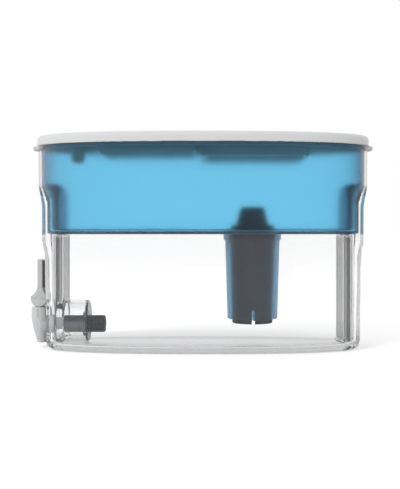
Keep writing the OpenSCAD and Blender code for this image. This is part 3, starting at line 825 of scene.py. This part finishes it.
def moulded(name, dark, light, rough, scale=900, bump=0.25, level=0.5, metallic=0):
    """Moulded plastic: a fine grain, and a slow drift in colour and gloss."""
    made, tree, shader = material(name)
    shader.inputs["Specular IOR Level"].default_value = level
    shader.inputs["Metallic"].default_value = metallic
    grain(tree, shader, scale, bump)
    slow = noise(tree, 18, 2)
    tint(tree, slow, shader, dark, light)
    mottle(tree, slow, shader, rough, 0.15)
    return made


def metal(name, colour, rough):
    """Drawn stainless steel with fine scratches."""
    made, tree, shader = material(name)
    shader.inputs["Metallic"].default_value = 1
    fine = grain(tree, shader, 2500, 0.15)
    tint(tree, fine, shader, [c * 0.85 for c in colour], colour)
    mottle(tree, fine, shader, rough, 0.2)
    return made


def upright(tree):
    """1 on walls that stand upright, 0 on level ones."""
    return maths(tree, "SUBTRACT", 1, maths(tree, "ABSOLUTE", axis_of(tree, coords(tree, "Normal"), "Z")))


def from_within(tree):
    """Share of the painted shade: 1 where a wall is met from inside the plastic, a lower share where it
    is met from the air.
    """
    return ramp(tree, node(tree, "ShaderNodeNewGeometry").outputs["Backfacing"], low=ENTRY_SHADE_SHARE)


def below_step(tree):
    """Share of the painted shade: 1 below the step in the tank's wall, a lower share above it."""
    return ramp(tree, axis_of(tree, coords(tree), "Z"), STEP_HIGH * MM, BACK_TOP * MM, 1, HIGH_SHADE_SHARE)


def lip_mask(tree):
    """Frosting on the grip lips: its share at both ends of the rim, nothing elsewhere."""
    reach = maths(tree, "ABSOLUTE", axis_of(tree, coords(tree), "X"))
    ends = ramp(tree, reach, (TANK_A - FROST_START) * MM, (TANK_A - FROST_FULL) * MM, high=FROST_SHARE)
    lip_z = TANK_H - LIP_H
    return times(tree, ends, ramp(tree, axis_of(tree, coords(tree), "Z"), (lip_z - 1) * MM, lip_z * MM))


def steep_share(tree, power, full, most):
    """How nearly a surface is looked along: nothing face on, rising late to its most at full."""
    facing = node(tree, "ShaderNodeLayerWeight", Blend=0.5).outputs["Facing"]
    return ramp(tree, maths(tree, "POWER", facing, power), end=full**power, high=most)


def clear_plastic(name, colour, deepening, edge_colour, shade, painted_shade_ramp, rough, ior, mirror, walls_only=False):
    """See-through plastic with a faint unevenness in its gloss. Where it is looked along, its colour moves to
    an edge colour, partly the plastic's own deeper colour and partly painted shade, and a dark matt shader is
    mixed in: painted shade for the dark that walls show edge on. The tank's painted shade falls on upright
    walls only."""
    made, tree, shader = material(name)
    shader.inputs["Transmission Weight"].default_value = 1
    shader.inputs["IOR"].default_value = ior
    shader.inputs["Specular Tint"].default_value = (*mirror, 1)
    mottle(tree, noise(tree, 25, 2), shader, rough, 0.05)
    # Edge colour where the plastic is looked along: partly its own deeper colour, partly painted shade
    tint(tree, steep_share(tree, deepening, 1, 1), shader, colour, edge_colour)
    # Painted shade: a dark matt shader mixed in where the plastic is looked along
    share = steep_share(tree, *painted_shade_ramp)
    if walls_only:
        share = times(tree, share, upright(tree), from_within(tree), below_step(tree))
    whole = mixed(tree, share, shader.outputs["BSDF"], matt(tree, shade))
    if walls_only:
        whole = mixed(tree, lip_mask(tree), whole, matt(tree, [FROST_PALE] * 3))
    tree.links.new(whole, tree.nodes["Material Output"].inputs["Surface"])
    return made


# Clear tank: its grey edge colour and the dark matt mixed in along its walls are painted shade
CLEAR = clear_plastic(
    "clear_plastic",
    colour=(0.985, 0.986, 0.988),
    deepening=4,
    edge_colour=(0.4, 0.41, 0.42),
    shade=(0.02, 0.02, 0.02),
    painted_shade_ramp=(3.5, 0.84, 0.9),
    rough=0.015,
    ior=1.44,
    mirror=(0.85, 0.87, 0.9),
    walls_only=True,
)
# Blue reservoir: its edge blue is partly its own deeper colour and partly painted shade; the dark blue matt
# mixed in is painted shade
BLUE = clear_plastic(
    "blue_plastic",
    colour=(0.42, 0.82, 1.0),
    deepening=2,
    edge_colour=(0.08, 0.48, 0.95),
    shade=(0.04, 0.24, 0.5),
    painted_shade_ramp=(1.2, 0.84, 0.22),
    rough=0.255,
    ior=1.4,
    mirror=(0.45, 0.5, 0.6),
)
WHITE = moulded("white_plastic", (0.75, 0.755, 0.755), (0.785, 0.79, 0.79), 0.32)
GREY = moulded("tap_plastic", (0.68, 0.685, 0.69), (0.73, 0.735, 0.74), 0.34)
DARK = moulded("dark_plastic", (0.014, 0.019, 0.026), (0.022, 0.027, 0.035), 0.42, level=0.2)
SHANK = moulded("shank_plastic", (0.1, 0.11, 0.125), (0.13, 0.14, 0.155), 0.25, metallic=0.6)
FILTER = moulded("cartridge_plastic", (0.008, 0.012, 0.018), (0.014, 0.019, 0.026), 0.5, level=0.12)
CAP = moulded("cap_plastic", (0.09, 0.095, 0.105), (0.115, 0.12, 0.13), 0.5, level=0.35)
RUBBER = moulded("soft_rubber", (0.03, 0.03, 0.032), (0.045, 0.045, 0.048), 0.65, 1500, 0.4, level=0.3)
MESH = moulded("mesh_cloth", (0.5, 0.51, 0.52), (0.62, 0.63, 0.64), 0.6, scale=3000, bump=0.8)
GRAINS = moulded("granules", (0.012, 0.012, 0.012), (0.03, 0.03, 0.03), 0.7, scale=1400, bump=1)
STEEL = metal("steel", (0.62, 0.62, 0.63), 0.28)


# Pieces


def trim_top(target, reach, z):
    """Cuts off what stands above a height."""
    reach, side = reach + TRIM_ROOM, TANK_B + TRIM_ROOM
    cut(target, block("top", (-reach, -side, z), (reach, side, TANK_H + TRIM_H)))


def make_tank():
    reach, side = TANK_A + LIP_OUT + SPARE, TANK_B + SPARE
    top = TANK_H + NET_ROOM
    shell = surface_net("tank_shell", tank_outside, (-reach, -side, -SPARE), (reach, side, top), SHELL_STEP)
    low, high = (-reach, -TANK_B, SPACE_LOW), (reach, TANK_B, top + SPARE)
    space = surface_net("tank_space", tank_inside, low, high, SPACE_STEP)
    trim_top(shell, reach, TANK_H)
    cut(shell, space)
    cut(shell, loft("seat", rim_loops(RIM_WALL, TANK_H - FLANGE_T, TANK_H + RIM_OVER)))
    back = -RECESS_X + POCKET_DEPTH + TANK_WALL / 2
    drill(shell, "hole", HOLE_R, -TANK_WALL - 0.4, TANK_WALL + 0.4, (back, 0, TAP_Z), "X")
    thin_out(shell, SHELL_TRIANGLES)
    hand_over(shell, "tank", CLEAR, "tank", [(tank_outside, 1), (tank_inside, -1)])


def well_outline():
    """Outside of the cartridge's well, with its collar."""
    foot, low, top = WELL_FOOT_Z, COLLAR_LOW, COLLAR_TOP
    points = [(0, foot), (WELL_FOOT_R, foot), (WELL_R, low), (COLLAR_R, low), (COLLAR_R, top), (0, top)]
    return soften(points, [0, 0.8, 0.6, 0.7, 0.6, 0], 3)


def well_bore():
    """Inside of the cartridge's well: mouth, cup, seat and the entry above it."""
    foot_r, wall_r = WELL_FOOT_R - WELL_WALL, WELL_R - WELL_WALL
    low, floor, top = WELL_FOOT_Z - OVER, WELL_FOOT_Z + WELL_WALL, COLLAR_TOP + OVER
    cup = [(0, low), (WELL_MOUTH_R, low), (WELL_MOUTH_R, floor), (foot_r, floor)]
    seat = [(wall_r, SEAT_TOP - SEAT_H), (SEAT_R, SEAT_TOP - SEAT_H), (SEAT_R, SEAT_TOP), (wall_r, SEAT_TOP)]
    return cup + seat + [(wall_r, top), (0, top)]


def make_reservoir():
    reach = TANK_A + SPARE
    top = TANK_H + NET_ROOM
    low, high = (-reach, -TANK_B, RES_Z - SPARE), (reach, TANK_B, top)
    tub = surface_net("reservoir_tub", tub_outside, low, high, TUB_STEP)
    low, high = (-reach, -TANK_B, RES_Z), (reach, TANK_B, top + SPARE)
    space = surface_net("tub_space", tub_inside, low, high, TUB_SPACE_STEP)
    flange_z = TANK_H - FLANGE_T
    trim_top(tub, reach, flange_z + FLANGE_LAP)
    add(tub, loft("flange", rim_loops(RIM_WALL + NEAR, flange_z, TANK_H)))
    cut(tub, space)
    add(tub, lathe("well", well_outline(), (WELL_X, 0, 0)))
    cut(tub, lathe("bore", well_bore(), (WELL_X, 0, 0)))
    hand_over(tub, "reservoir", BLUE, "reservoir", [(tub_outside, 1), (tub_inside, -1)])


def crown_at(drop):
    """Height function of the lid's top, lowered by a drop."""
    return lambda x, y: crown_z(x, y) - drop


def door_loop(grow, z):
    """Outline of the fill door, grown by a gap."""
    return rect_loop(DOOR_X - grow, DOOR_X + DOOR_LEN + grow, DOOR_HALF + grow, DOOR_R + grow, z)


def fill_trough():
    """The fill well, the shallower ribs beyond the hinge and the block that the hinge sits in."""
    grow = DOOR_GAP + FILL_WALL
    under = crown_at(LID_WALL / 2)
    well = loft("fill_well", [door_loop(grow, z) for z in (TANK_H - FILL_DEPTH, under)])
    x0, x1 = -TANK_A * RIB_SHARE, HINGE_X - GROOVE_W
    low = TANK_H - RIB_DEPTH
    ribs = slab("ribs", x0, x1, DOOR_HALF + grow, FILL_WALL, low, under)
    inner = x0 + FILL_WALL, x1 - FILL_WALL, DOOR_HALF + DOOR_GAP, RIB_SPACE_R
    cut(ribs, slab("rib_space", *inner, low - 1, LID_EDGE_Z - LID_WALL))
    bed = x1 - HINGE_BED, DOOR_X + DOOR_GAP, DOOR_HALF + NEAR + HINGE_EAR, FILL_WALL
    return [well, ribs, slab("hinge_seat", *bed, HINGE_Z - HINGE_R - NEAR - HINGE_BED, under)]


def dial_seat(dial_z):
    """The boss that the dial's stem runs in and the pad under its face."""
    boss = rod("boss", BOSS_R, TANK_H - BOSS_DROP, TANK_H + BOSS_H, (DIAL_X, 0, 0), edge_r=BOSS_EDGE_R)
    low = dial_z - DIAL_T - NEAR - FILL_WALL
    return [boss, rod("pad", DIAL_R + NEAR + FILL_WALL, low, dial_z - PAD_SINK, (DIAL_X, 0, 0))]


def lid_skirt():
    """The ring under the lid that reaches into the reservoir."""
    inset = RES_INSET + RES_WALL + 2 * NEAR
    low, high = TANK_H - SKIRT_H, LID_EDGE_Z - LID_WALL / 2
    skirt = loft("skirt", rim_loops(inset, low, high))
    return cut(skirt, loft("skirt_hollow", rim_loops(inset + FILL_WALL, low - 1, high + OVER)))


def open_door_way(cover):
    """The door's recess with its softened edge, the opening below it and the groove of its hinge."""
    rim = [(0, DOOR_T + NEAR), (0, 0.5), (0.15, 0.2), (0.5, 0), (1.5, -1)]
    cut(cover, loft("door_opening", [door_loop(DOOR_GAP + grow, crown_at(drop)) for grow, drop in rim]))
    start = DOOR_X + DOOR_LEDGE
    way = start, DOOR_X + DOOR_LEN - DOOR_LEDGE, DOOR_HALF - DOOR_LEDGE, DOOR_R
    cut(cover, slab("fill_opening", *way, TANK_H - FILL_DEPTH - OVER, OVER_LID))
    way = HINGE_X - GROOVE_W, start, DOOR_HALF + NEAR, GROOVE_R
    cut(cover, slab("groove", *way, HINGE_Z - HINGE_R - NEAR, OVER_LID))
    pin = DOOR_HALF + PIN_END
    drill(cover, "pin_bore", HINGE_PIN_R, -pin, pin, (HINGE_X, 0, HINGE_Z), "Y", 32)


def make_lid():
    reach, low = LID_A + LID_ROOM, TANK_H - LID_ROOM
    high = (reach, LID_B + LID_ROOM, OVER_LID + OVER)
    cover = surface_net("lid_cover", lid_outside, (-reach, -LID_B - LID_ROOM, low), high, LID_STEP)
    low, high = (-reach, -LID_B, low - SPARE), (reach, LID_B, OVER_LID)
    cut(cover, surface_net("lid_space", lid_inside, low, high, LID_STEP))
    dial_z = float(crown_z(np.array(DIAL_X), np.array(0.0)))
    for part in (*fill_trough(), *dial_seat(dial_z), lid_skirt()):
        add(cover, part)
    open_door_way(cover)
    drill(cover, "stem_bore", DIAL_STEM_R + 0.05, TANK_H - BOSS_DROP - OVER, OVER_LID, (DIAL_X, 0, 0))
    drill(cover, "dial_seat", DIAL_R + NEAR, dial_z - DIAL_T - NEAR, OVER_LID, (DIAL_X, 0, 0))
    hand_over(cover, "lid", WHITE, "lid", [(lid_outside, 1), (lid_inside, -1)])


def door_inner(inset, drop):
    """Ring inside the door's face, towards its middle line."""
    x0, x1 = DOOR_X + inset, DOOR_X + DOOR_LEN - inset
    return rect_loop(x0, x1, DOOR_HALF - inset, max(DOOR_R - inset, 0.5), crown_at(drop))


def make_door():
    edge = [(-0.3, DOOR_T), (0, DOOR_T - 0.3), (0, 0.6), (-0.18, 0.18), (-0.6, 0)]
    loops = [door_loop(grow, crown_at(drop)) for grow, drop in edge]
    for inset in DOOR_RINGS:
        loops.append(door_inner(inset, 0))
        loops.insert(0, door_inner(inset, DOOR_T))
    flap = loft("fill_flap", loops)
    add(flap, rod("knuckle", HINGE_R, -DOOR_HALF, DOOR_HALF, (HINGE_X, 0, HINGE_Z), "Y", 48, 0.5))
    low, high = HINGE_Z - HINGE_R / 4, HINGE_Z + TONGUE_UP
    add(flap, block("tongue", (HINGE_X, -DOOR_HALF, low), (DOOR_X + DOOR_LEDGE, DOOR_HALF, high)))
    reach = DOOR_HALF + 1
    drill(flap, "pin_bore", HINGE_PIN_R, -reach, reach, (HINGE_X, 0, HINGE_Z), "Y", 32)
    notch_x = DOOR_X + DOOR_LEN + NOTCH_R * NOTCH_SHARE
    drill(flap, "notch", NOTCH_R, TANK_H, OVER_LID, (notch_x, 0, 0))
    hand_over(flap, "fill_door", WHITE, "fill_door")


def make_dial():
    low, top = (corner[2] for corner in corners("change_dial"))
    face = top - DIAL_BAR_H
    under, stem_r = face - DIAL_T, DIAL_STEM_R
    lip, groove = low + CLIP_LIP, low + CLIP_LIP + CLIP_GROOVE
    points = [(0, low), (stem_r, low), (stem_r, lip), (CLIP_R, lip), (CLIP_R, groove), (stem_r, groove)]
    points += [(stem_r, under), (DIAL_R, under), (DIAL_R, face), (0, face)]
    profile = soften(points, [0, 0.4, 0, 0, 0, 0, 0, 0.3, 0.5, 0], 3)
    knob = lathe("dial_knob", profile, (DIAL_X, 0, 0))
    half = DIAL_R - 3
    bar = [
        rect_loop(DIAL_X - half + e, DIAL_X + half - e, DIAL_BAR_HALF - e, DIAL_BAR_HALF - 0.05 - e, z)
        for e, z in ((0, face - 0.4), (0, top - 0.3), (0.1, top - 0.1), (0.35, top))
    ]
    add(knob, loft("bar", bar))
    hand_over(knob, "change_dial", WHITE, "change_dial")


def make_case():
    """The cartridge's body: a tapered cup on a slotted skirt, with its sealing ring at the top."""
    inner, foot = CART_R - CART_WALL, CART_FOOT_R - CART_WALL
    ring_top = RING_Z + RING_H
    points = [(0, CART_LOW), (CART_FOOT_R, CART_LOW), (CART_R, RING_Z), (RING_R, RING_Z)]
    points += [(RING_R, ring_top), (0, ring_top)]
    case = lathe("filter_case", soften(points, [0, 1.2, 0.4, 0.6, 0.6, 0], 3), (WELL_X, 0, 0))
    low, top = CART_LOW - 1, CART_LOW + SLOT_H
    drill(case, "skirt", foot, low, top, (WELL_X, 0, 0))
    floor, mouth = top + CART_FLOOR, ring_top + SPARE
    well = [(0, floor), (foot, floor), (inner, RING_Z), (inner, mouth), (0, mouth)]
    cut(case, lathe("well", well, (WELL_X, 0, 0)))
    half, reach = SLOT_W / 2, CART_R + SPARE
    cut(case, block("slot_x", (WELL_X - reach, -half, low), (WELL_X + reach, half, top)))
    cut(case, block("slot_y", (WELL_X - half, -reach, low), (WELL_X + half, reach, top)))
    hand_over(case, "cartridge", FILTER, "cartridge_body")


def make_cap():
    """The cartridge's cap: a plug, a drum and a cone, hollow, with vents on top and a slit at each side."""
    inner = CART_R - CART_WALL
    plug = inner - 0.05
    base = RING_Z + RING_H
    low, drum = base - PLUG_H, base + CAP_H
    points = [(0, low), (plug, low), (plug, base), (CAP_R, base), (CAP_R - 0.6, drum), (CONE_R, drum + 0.5)]
    points += [(CONE_TOP_R, CART_TOP), (0, CART_TOP)]
    cap = lathe("filter_cap", soften(points, [0, 0.3, 0, 0.2, 2.2, 1.2, 1.6, 0], 4), (WELL_X, 0, 0))
    low, roof, top = low - 1.2, drum - CART_WALL, CART_TOP - CART_WALL
    hollow = [(0, low), (inner - CART_WALL, low), (inner - CART_WALL, roof), (CONE_R - CART_WALL - 0.5, roof)]
    hollow += [(CONE_TOP_R - CART_WALL, top), (0, top)]
    cut(cap, lathe("hollow", hollow, (WELL_X, 0, 0)))
    for i in range(VENTS):
        turn = 2 * math.pi * i / VENTS
        spot = (WELL_X + CONE_TOP_R / 2 * math.cos(turn), CONE_TOP_R / 2 * math.sin(turn), 0)
        drill(cap, "vent", VENT_R, CART_TOP - 3, CART_TOP + 1, spot, "Z", 24)
    for side in (-1, 1):
        near, far = sorted((side * (inner - 3), side * (CAP_R + 1)))
        cut(cap, block("slit", (WELL_X - 1, near, drum - SLIT_H), (WELL_X + 1, far, roof)))
    hand_over(cap, "cartridge", CAP, "cartridge_cap")


def lever_field(p):
    """Lever: a hollow drum on its side that runs up into a flat blade, dished at its back."""
    x, y, z = p[..., 0] - PIVOT_X, np.abs(p[..., 1]), p[..., 2] - PIVOT_Z
    blade_x = BLADE_X - PIVOT_X
    tip = BLADE_TOP - PIVOT_Z
    radial = np.hypot(x, z) - DRUM_R
    flanks = []
    for side in (-1, 1):
        middle = blade_x + side * (BLADE_T / 2 + FLARE_R)
        flanks.append(FLARE_R - np.hypot(x - middle, np.maximum(FLARE_H - z, 0)))
    flare = np.maximum(*flanks)
    profile = both(np.minimum(both(radial, z), both(flare, -z)), np.hypot(x, np.minimum(z, 0)) - DRUM_R)
    width = BLADE_HALF + (DRUM_HALF - BLADE_HALF) * np.clip((FLARE_H - z) / FLARE_BLEND, 0, 1)
    lever = both(both(profile, y - width, 1.2), z - tip, 2.2)
    cheeks = y - DRUM_HALF + CHEEK
    inner = both(both(radial + DRUM_WALL, cheeks), flare + DRUM_WALL)
    low = either(z + LEVER_APRON, both(z, -x))
    slot = both(both(cheeks, low), np.abs(x) - DRUM_R - 2)
    lever = without(lever, either(inner, slot))
    dish_low, dish_high = DRUM_R + DISH_RIB, tip - DISH_RIB
    dish_rows = np.abs(z - (dish_low + dish_high) / 2) - (dish_high - dish_low) / 2
    dish = both(both(y - BLADE_HALF + DISH_RIB, dish_rows), blade_x + BLADE_T / 2 - DISH_DEPTH - x)
    return without(lever, both(dish, -x, 0), 0.8)


def housing_field(p):
    """Tap housing: an upright body that narrows into the spout, with a neck into the recess's wall."""
    x, y, z = p[..., 0] - SPOUT_X, p[..., 1], p[..., 2]
    radial = np.hypot(x, y)
    taper = np.clip((z - WAIST_Z) / (SHOULDER_Z - WAIST_Z), 0, 1)
    width = WAIST_R + (HOUSING_R - WAIST_R) * (taper + BELLY_SHARE * np.sin(taper * np.pi))
    body = both(both(radial - width, z - HOUSING_TOP, 0.9), WAIST_Z - z, 0.5)
    spout = both(radial - SPOUT_R, SPOUT_LOW - z, 0.6)
    shape = either(body, both(spout, z - CHAMBER_STEP_Z), 0.5)
    neck = both(np.hypot(y, z - TAP_Z) - NECK_R, x - (NECK_END - SPOUT_X), 0.8)
    return either(shape, both(neck, -x), 2)


def make_housing():
    low, high = (-199, -HOUSING_R - 2, 4), (-160, HOUSING_R + 2, HOUSING_TOP + 2)
    housing = surface_net("tap_housing", housing_field, low, high, TAP_STEP)
    low_r, low, step, top = CHAMBER_LOW_R, VALVE_Z, CHAMBER_STEP_Z, HOUSING_TOP + 1
    chamber = [(0, low), (low_r, low), (low_r, step), (CHAMBER_R, step), (CHAMBER_R, top), (0, top)]
    cut(housing, lathe("chamber", chamber, (SPOUT_X, 0, 0), "Z", 64))
    drill(housing, "outlet", OUTLET_R, 3, VALVE_Z + OVER, (SPOUT_X, 0, 0), "Z", 48)
    front = NECK_END + 1
    step, end = front - SOCKET_DEPTH, front - SOCKET_END
    bore_r = SHANK_BORE_R
    socket = [(0, end), (bore_r, end), (bore_r, step), (SOCKET_R, step), (SOCKET_R, front), (0, front)]
    cut(housing, lathe("spigot", socket, (0, 0, TAP_Z), "X", 64))
    for side in (-1, 1):
        near, far = sorted((side * (HOUSING_R - MARK_DEPTH), side * (HOUSING_R + 1)))
        low = (PIVOT_X - MARK_HALF, near, HOUSING_TOP - MARK_H)
        cut(housing, block("mark", low, (PIVOT_X + MARK_HALF, far, top)))
    hand_over(housing, "tank", GREY, "tap_body", [(housing_field, 1)])


def make_handle():
    handle = surface_net("tap_handle", lever_field, (-199, -12, 45), (-175, 12, BLADE_TOP + 2), TAP_STEP)
    add(handle, rod("bar", BAR_R, -BAR_HALF, BAR_HALF, (PIVOT_X + BAR_IN, 0, PIVOT_Z - BAR_DOWN), "Y", 24))
    reach = DRUM_HALF + 1
    drill(handle, "pin_bore", LEVER_PIN_R, -reach, reach, (PIVOT_X, 0, PIVOT_Z), "Y", 32)
    hand_over(handle, "tap_lever", GREY, "tap_lever", [(lever_field, 1)])


def make_spring():
    """Round wire wound in a coil."""
    sides, steps = 10, 36 * COIL_TURNS
    start, end = SPRING_LOW[2] + WIRE_R, SPRING_HIGH[2] - WIRE_R
    side = 2 * np.pi * np.arange(sides) / sides
    turn = 2 * np.pi * COIL_TURNS * np.arange(steps + 1)[:, None] / steps
    radius = COIL_R + WIRE_R * np.cos(side)
    height = start + (end - start) * np.arange(steps + 1)[:, None] / steps + WIRE_R * np.sin(side)
    rings = np.stack([SPOUT_X + radius * np.cos(turn), radius * np.sin(turn), height], axis=-1)
    spring = tidy(loft("spring_coil", list(rings)))
    hand_over(spring, "tank", STEEL, "return_spring")
    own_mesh(spring)


def on_shank(name, points, radii=None, segments=72):
    """Piece turned round the shank from (radius, depth from the recess's wall) points, its edges softened."""
    if radii:
        points = soften(points, radii, 3)
    return lathe(name, [(r, -RECESS_X + depth) for r, depth in points], (0, 0, TAP_Z), "X", segments)


def make_shank():
    """The tube through the pocket's wall, with its plug, its collar and its thread."""
    end = float(corners("tap_shank")[1][0]) + RECESS_X
    outline = SHANK_OUTLINE + [(STUB_R, COLLAR_END)]
    for i in range(int((end - THREAD_START - 0.3) / THREAD_PITCH)):
        at = THREAD_START + i * THREAD_PITCH
        outline += [(STUB_R - 0.5, at + THREAD_PITCH * 0.3), (STUB_R, at + THREAD_PITCH * 0.7)]
    outline += [(STUB_R, end), (SHANK_BORE_R, end)]
    radii = SHANK_EDGES + [0] * (len(outline) - len(SHANK_EDGES))
    shank = on_shank("shank_tube", outline, radii)
    hand_over(shank, "tank", SHANK, "tap_shank")


def make_gasket():
    """Flat ring between the collar and the pocket's wall."""
    near, far = COLLAR_END, COLLAR_END + GASKET_T
    middle = (near + far) / 2
    side = GASKET_R - 0.4
    points = [(NUT_BORE_R, near), (side, near), (GASKET_R, middle), (side, far), (NUT_BORE_R, far)]
    gasket = on_shank("gasket_ring", points)
    hand_over(gasket, "tank", RUBBER, "shank_gasket")


def make_nut():
    """Lock nut on the wet side, fluted for the fingers."""
    low, high = corners("lock_nut")
    near, far = float(low[0]) + RECESS_X, float(high[0]) + RECESS_X
    nut_r = float(high[1])
    mouth = far - NUT_EDGE
    points = [(NUT_BORE_R, near), (nut_r - 0.5, near), (nut_r, near + 0.8), (nut_r, mouth)]
    points += [(nut_r - NUT_EDGE, far), (SHANK_BORE_R, far), (SHANK_BORE_R, mouth), (NUT_BORE_R, mouth)]
    nut = on_shank("grip_nut", points, [0, 0.3, 0.4, 0.6, 0.6, 0, 0, 0], 96)
    start, end = float(low[0]) + FLUTE_START, float(high[0]) - FLUTE_START
    reach = nut_r + FLUTE_R / 2
    for i in range(FLUTES):
        turn = 2 * math.pi * i / FLUTES
        spot = (0, reach * math.cos(turn), TAP_Z + reach * math.sin(turn))
        drill(nut, "flute", FLUTE_R, start, end, spot, "X", 20, 1.2)
    hand_over(nut, "tank", DARK, "lock_nut")


def dress_cad():
    """Materials of the CAD nodes that stay."""
    looks = (
        (STEEL, ("fill_door_pin", "lever_pin", "valve_stem", "inlet_strainer")),
        (DARK, ("dial_clip", "nut_washer")),
        (RUBBER, ("cartridge_seal", "valve_seal", "shank_seal")),
        (MESH, ("cap_screen", "outlet_screen")),
        (GRAINS, ("filter_media",)),
        (GREY, ("tap_bonnet",)),
    )
    for look, names in looks:
        for name in names:
            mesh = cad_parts[name].data
            mesh.materials.clear()
            mesh.materials.append(look)


def seen_rays(tree):
    """1 for rays from the eye, from a reflection or through clear plastic."""
    path = node(tree, "ShaderNodeLightPath").outputs
    seen = maths(tree, "MAXIMUM", path["Is Camera Ray"], path["Is Transmission Ray"])
    seen = maths(tree, "MAXIMUM", seen, path["Is Glossy Ray"])
    return times(tree, seen, maths(tree, "LESS_THAN", path["Diffuse Depth"], 0.5))


def make_stage():
    """Pale floor that shows white to the eye and through the plastic, and keeps a soft shadow."""
    made, tree, shader = material("floor")
    tree.nodes.remove(shader)
    lit = node(tree, "ShaderNodeAddShader")
    tree.links.new(matt(tree, [FLOOR_SEEN] * 3), lit.inputs[0])
    tree.links.new(node(tree, "ShaderNodeEmission", Strength=FLOOR_GLOW).outputs[0], lit.inputs[1])
    whole = mixed(tree, seen_rays(tree), matt(tree, [FLOOR_PALE] * 3), lit.outputs[0])
    tree.links.new(whole, tree.nodes["Material Output"].inputs["Surface"])
    ways = (-1, -1), (1, -1), (1, 1), (-1, 1)
    floor = as_object("floor", [(x * STAGE_R, y * STAGE_R, STAGE_Z) for x, y in ways], [(0, 1, 2, 3)])
    floor.data.materials.append(made)


def mirror_light(tree):
    """White seen in reflections, which dims from the far side of the studio to the near side."""
    along = node(tree, "ShaderNodeVectorMath", operation="DOT_PRODUCT")
    tree.links.new(coords(tree, "Generated"), along.inputs[0])
    along.inputs[1].default_value = MIRROR_WAY
    ends = -MIRROR_SPAN, MIRROR_SPAN, MIRROR_NEAR, MIRROR_FAR
    return ramp(tree, along.outputs["Value"], *ends, interpolation_type="SMOOTHSTEP")


def make_world():
    """White to the eye and through the plastic; plain grey light for the rest."""
    world = bpy.data.worlds.new("studio")
    bpy.context.scene.world = world
    world.use_nodes = True
    tree = world.node_tree
    tree.nodes.clear()
    plain = node(tree, "ShaderNodeBackground", Color=(1, 1, 1, 1), Strength=WORLD_LIGHT)
    white = node(tree, "ShaderNodeBackground", Color=(1, 1, 1, 1), Strength=1)
    mirror = node(tree, "ShaderNodeBackground", Color=(1, 1, 1, 1))
    tree.links.new(mirror_light(tree), mirror.inputs["Strength"])
    glossy = node(tree, "ShaderNodeLightPath").outputs["Is Glossy Ray"]
    seen = mixed(tree, glossy, white.outputs[0], mirror.outputs[0])
    whole = mixed(tree, seen_rays(tree), plain.outputs[0], seen)
    tree.links.new(whole, node(tree, "ShaderNodeOutputWorld").inputs["Surface"])


def lamp(name, place, size, power):
    """Soft area lamp that faces the object's middle; place and size in millimetres."""
    light = bpy.data.lights.new(name, "AREA")
    light.shape = "RECTANGLE"
    light.size, light.size_y = size[0] * MM, size[1] * MM
    light.energy = power
    obj = bpy.data.objects.new(name, light)
    bpy.context.collection.objects.link(obj)
    obj.location = Vector(place) * MM
    aim = Vector((0, 0, TANK_H / 2)) * MM - obj.location
    obj.rotation_euler = aim.to_track_quat("-Z", "Y").to_euler()
    obj.visible_glossy = False
    obj.visible_transmission = False


def make_camera():
    """Camera of the photograph: level, in front of the long side."""
    data = bpy.data.cameras.new("camera")
    data.sensor_width = SENSOR
    data.lens = FOCAL_PX * SENSOR / FRAME_H
    data.shift_x = (FRAME_W / 2 - CENTRE_PX) / FRAME_H
    data.shift_y = (HORIZON_PX - FRAME_H / 2) / FRAME_H
    data.clip_start, data.clip_end = CLIP
    cam = bpy.data.objects.new("camera", data)
    bpy.context.collection.objects.link(cam)
    cam.location = (0, EYE_Y * MM, EYE_Z * MM)
    cam.rotation_euler = (math.pi / 2, 0, 0)
    bpy.context.scene.camera = cam


make_camera()
bpy.context.scene.view_settings.view_transform = "Standard"
make_world()
make_stage()
lamp("key", *KEY_LAMP)
lamp("fill", *FILL_LAMP)
make_tank()
make_reservoir()
make_lid()
make_door()
make_dial()
make_case()
make_cap()
make_housing()
make_handle()
make_spring()
make_shank()
make_gasket()
make_nut()
dress_cad()
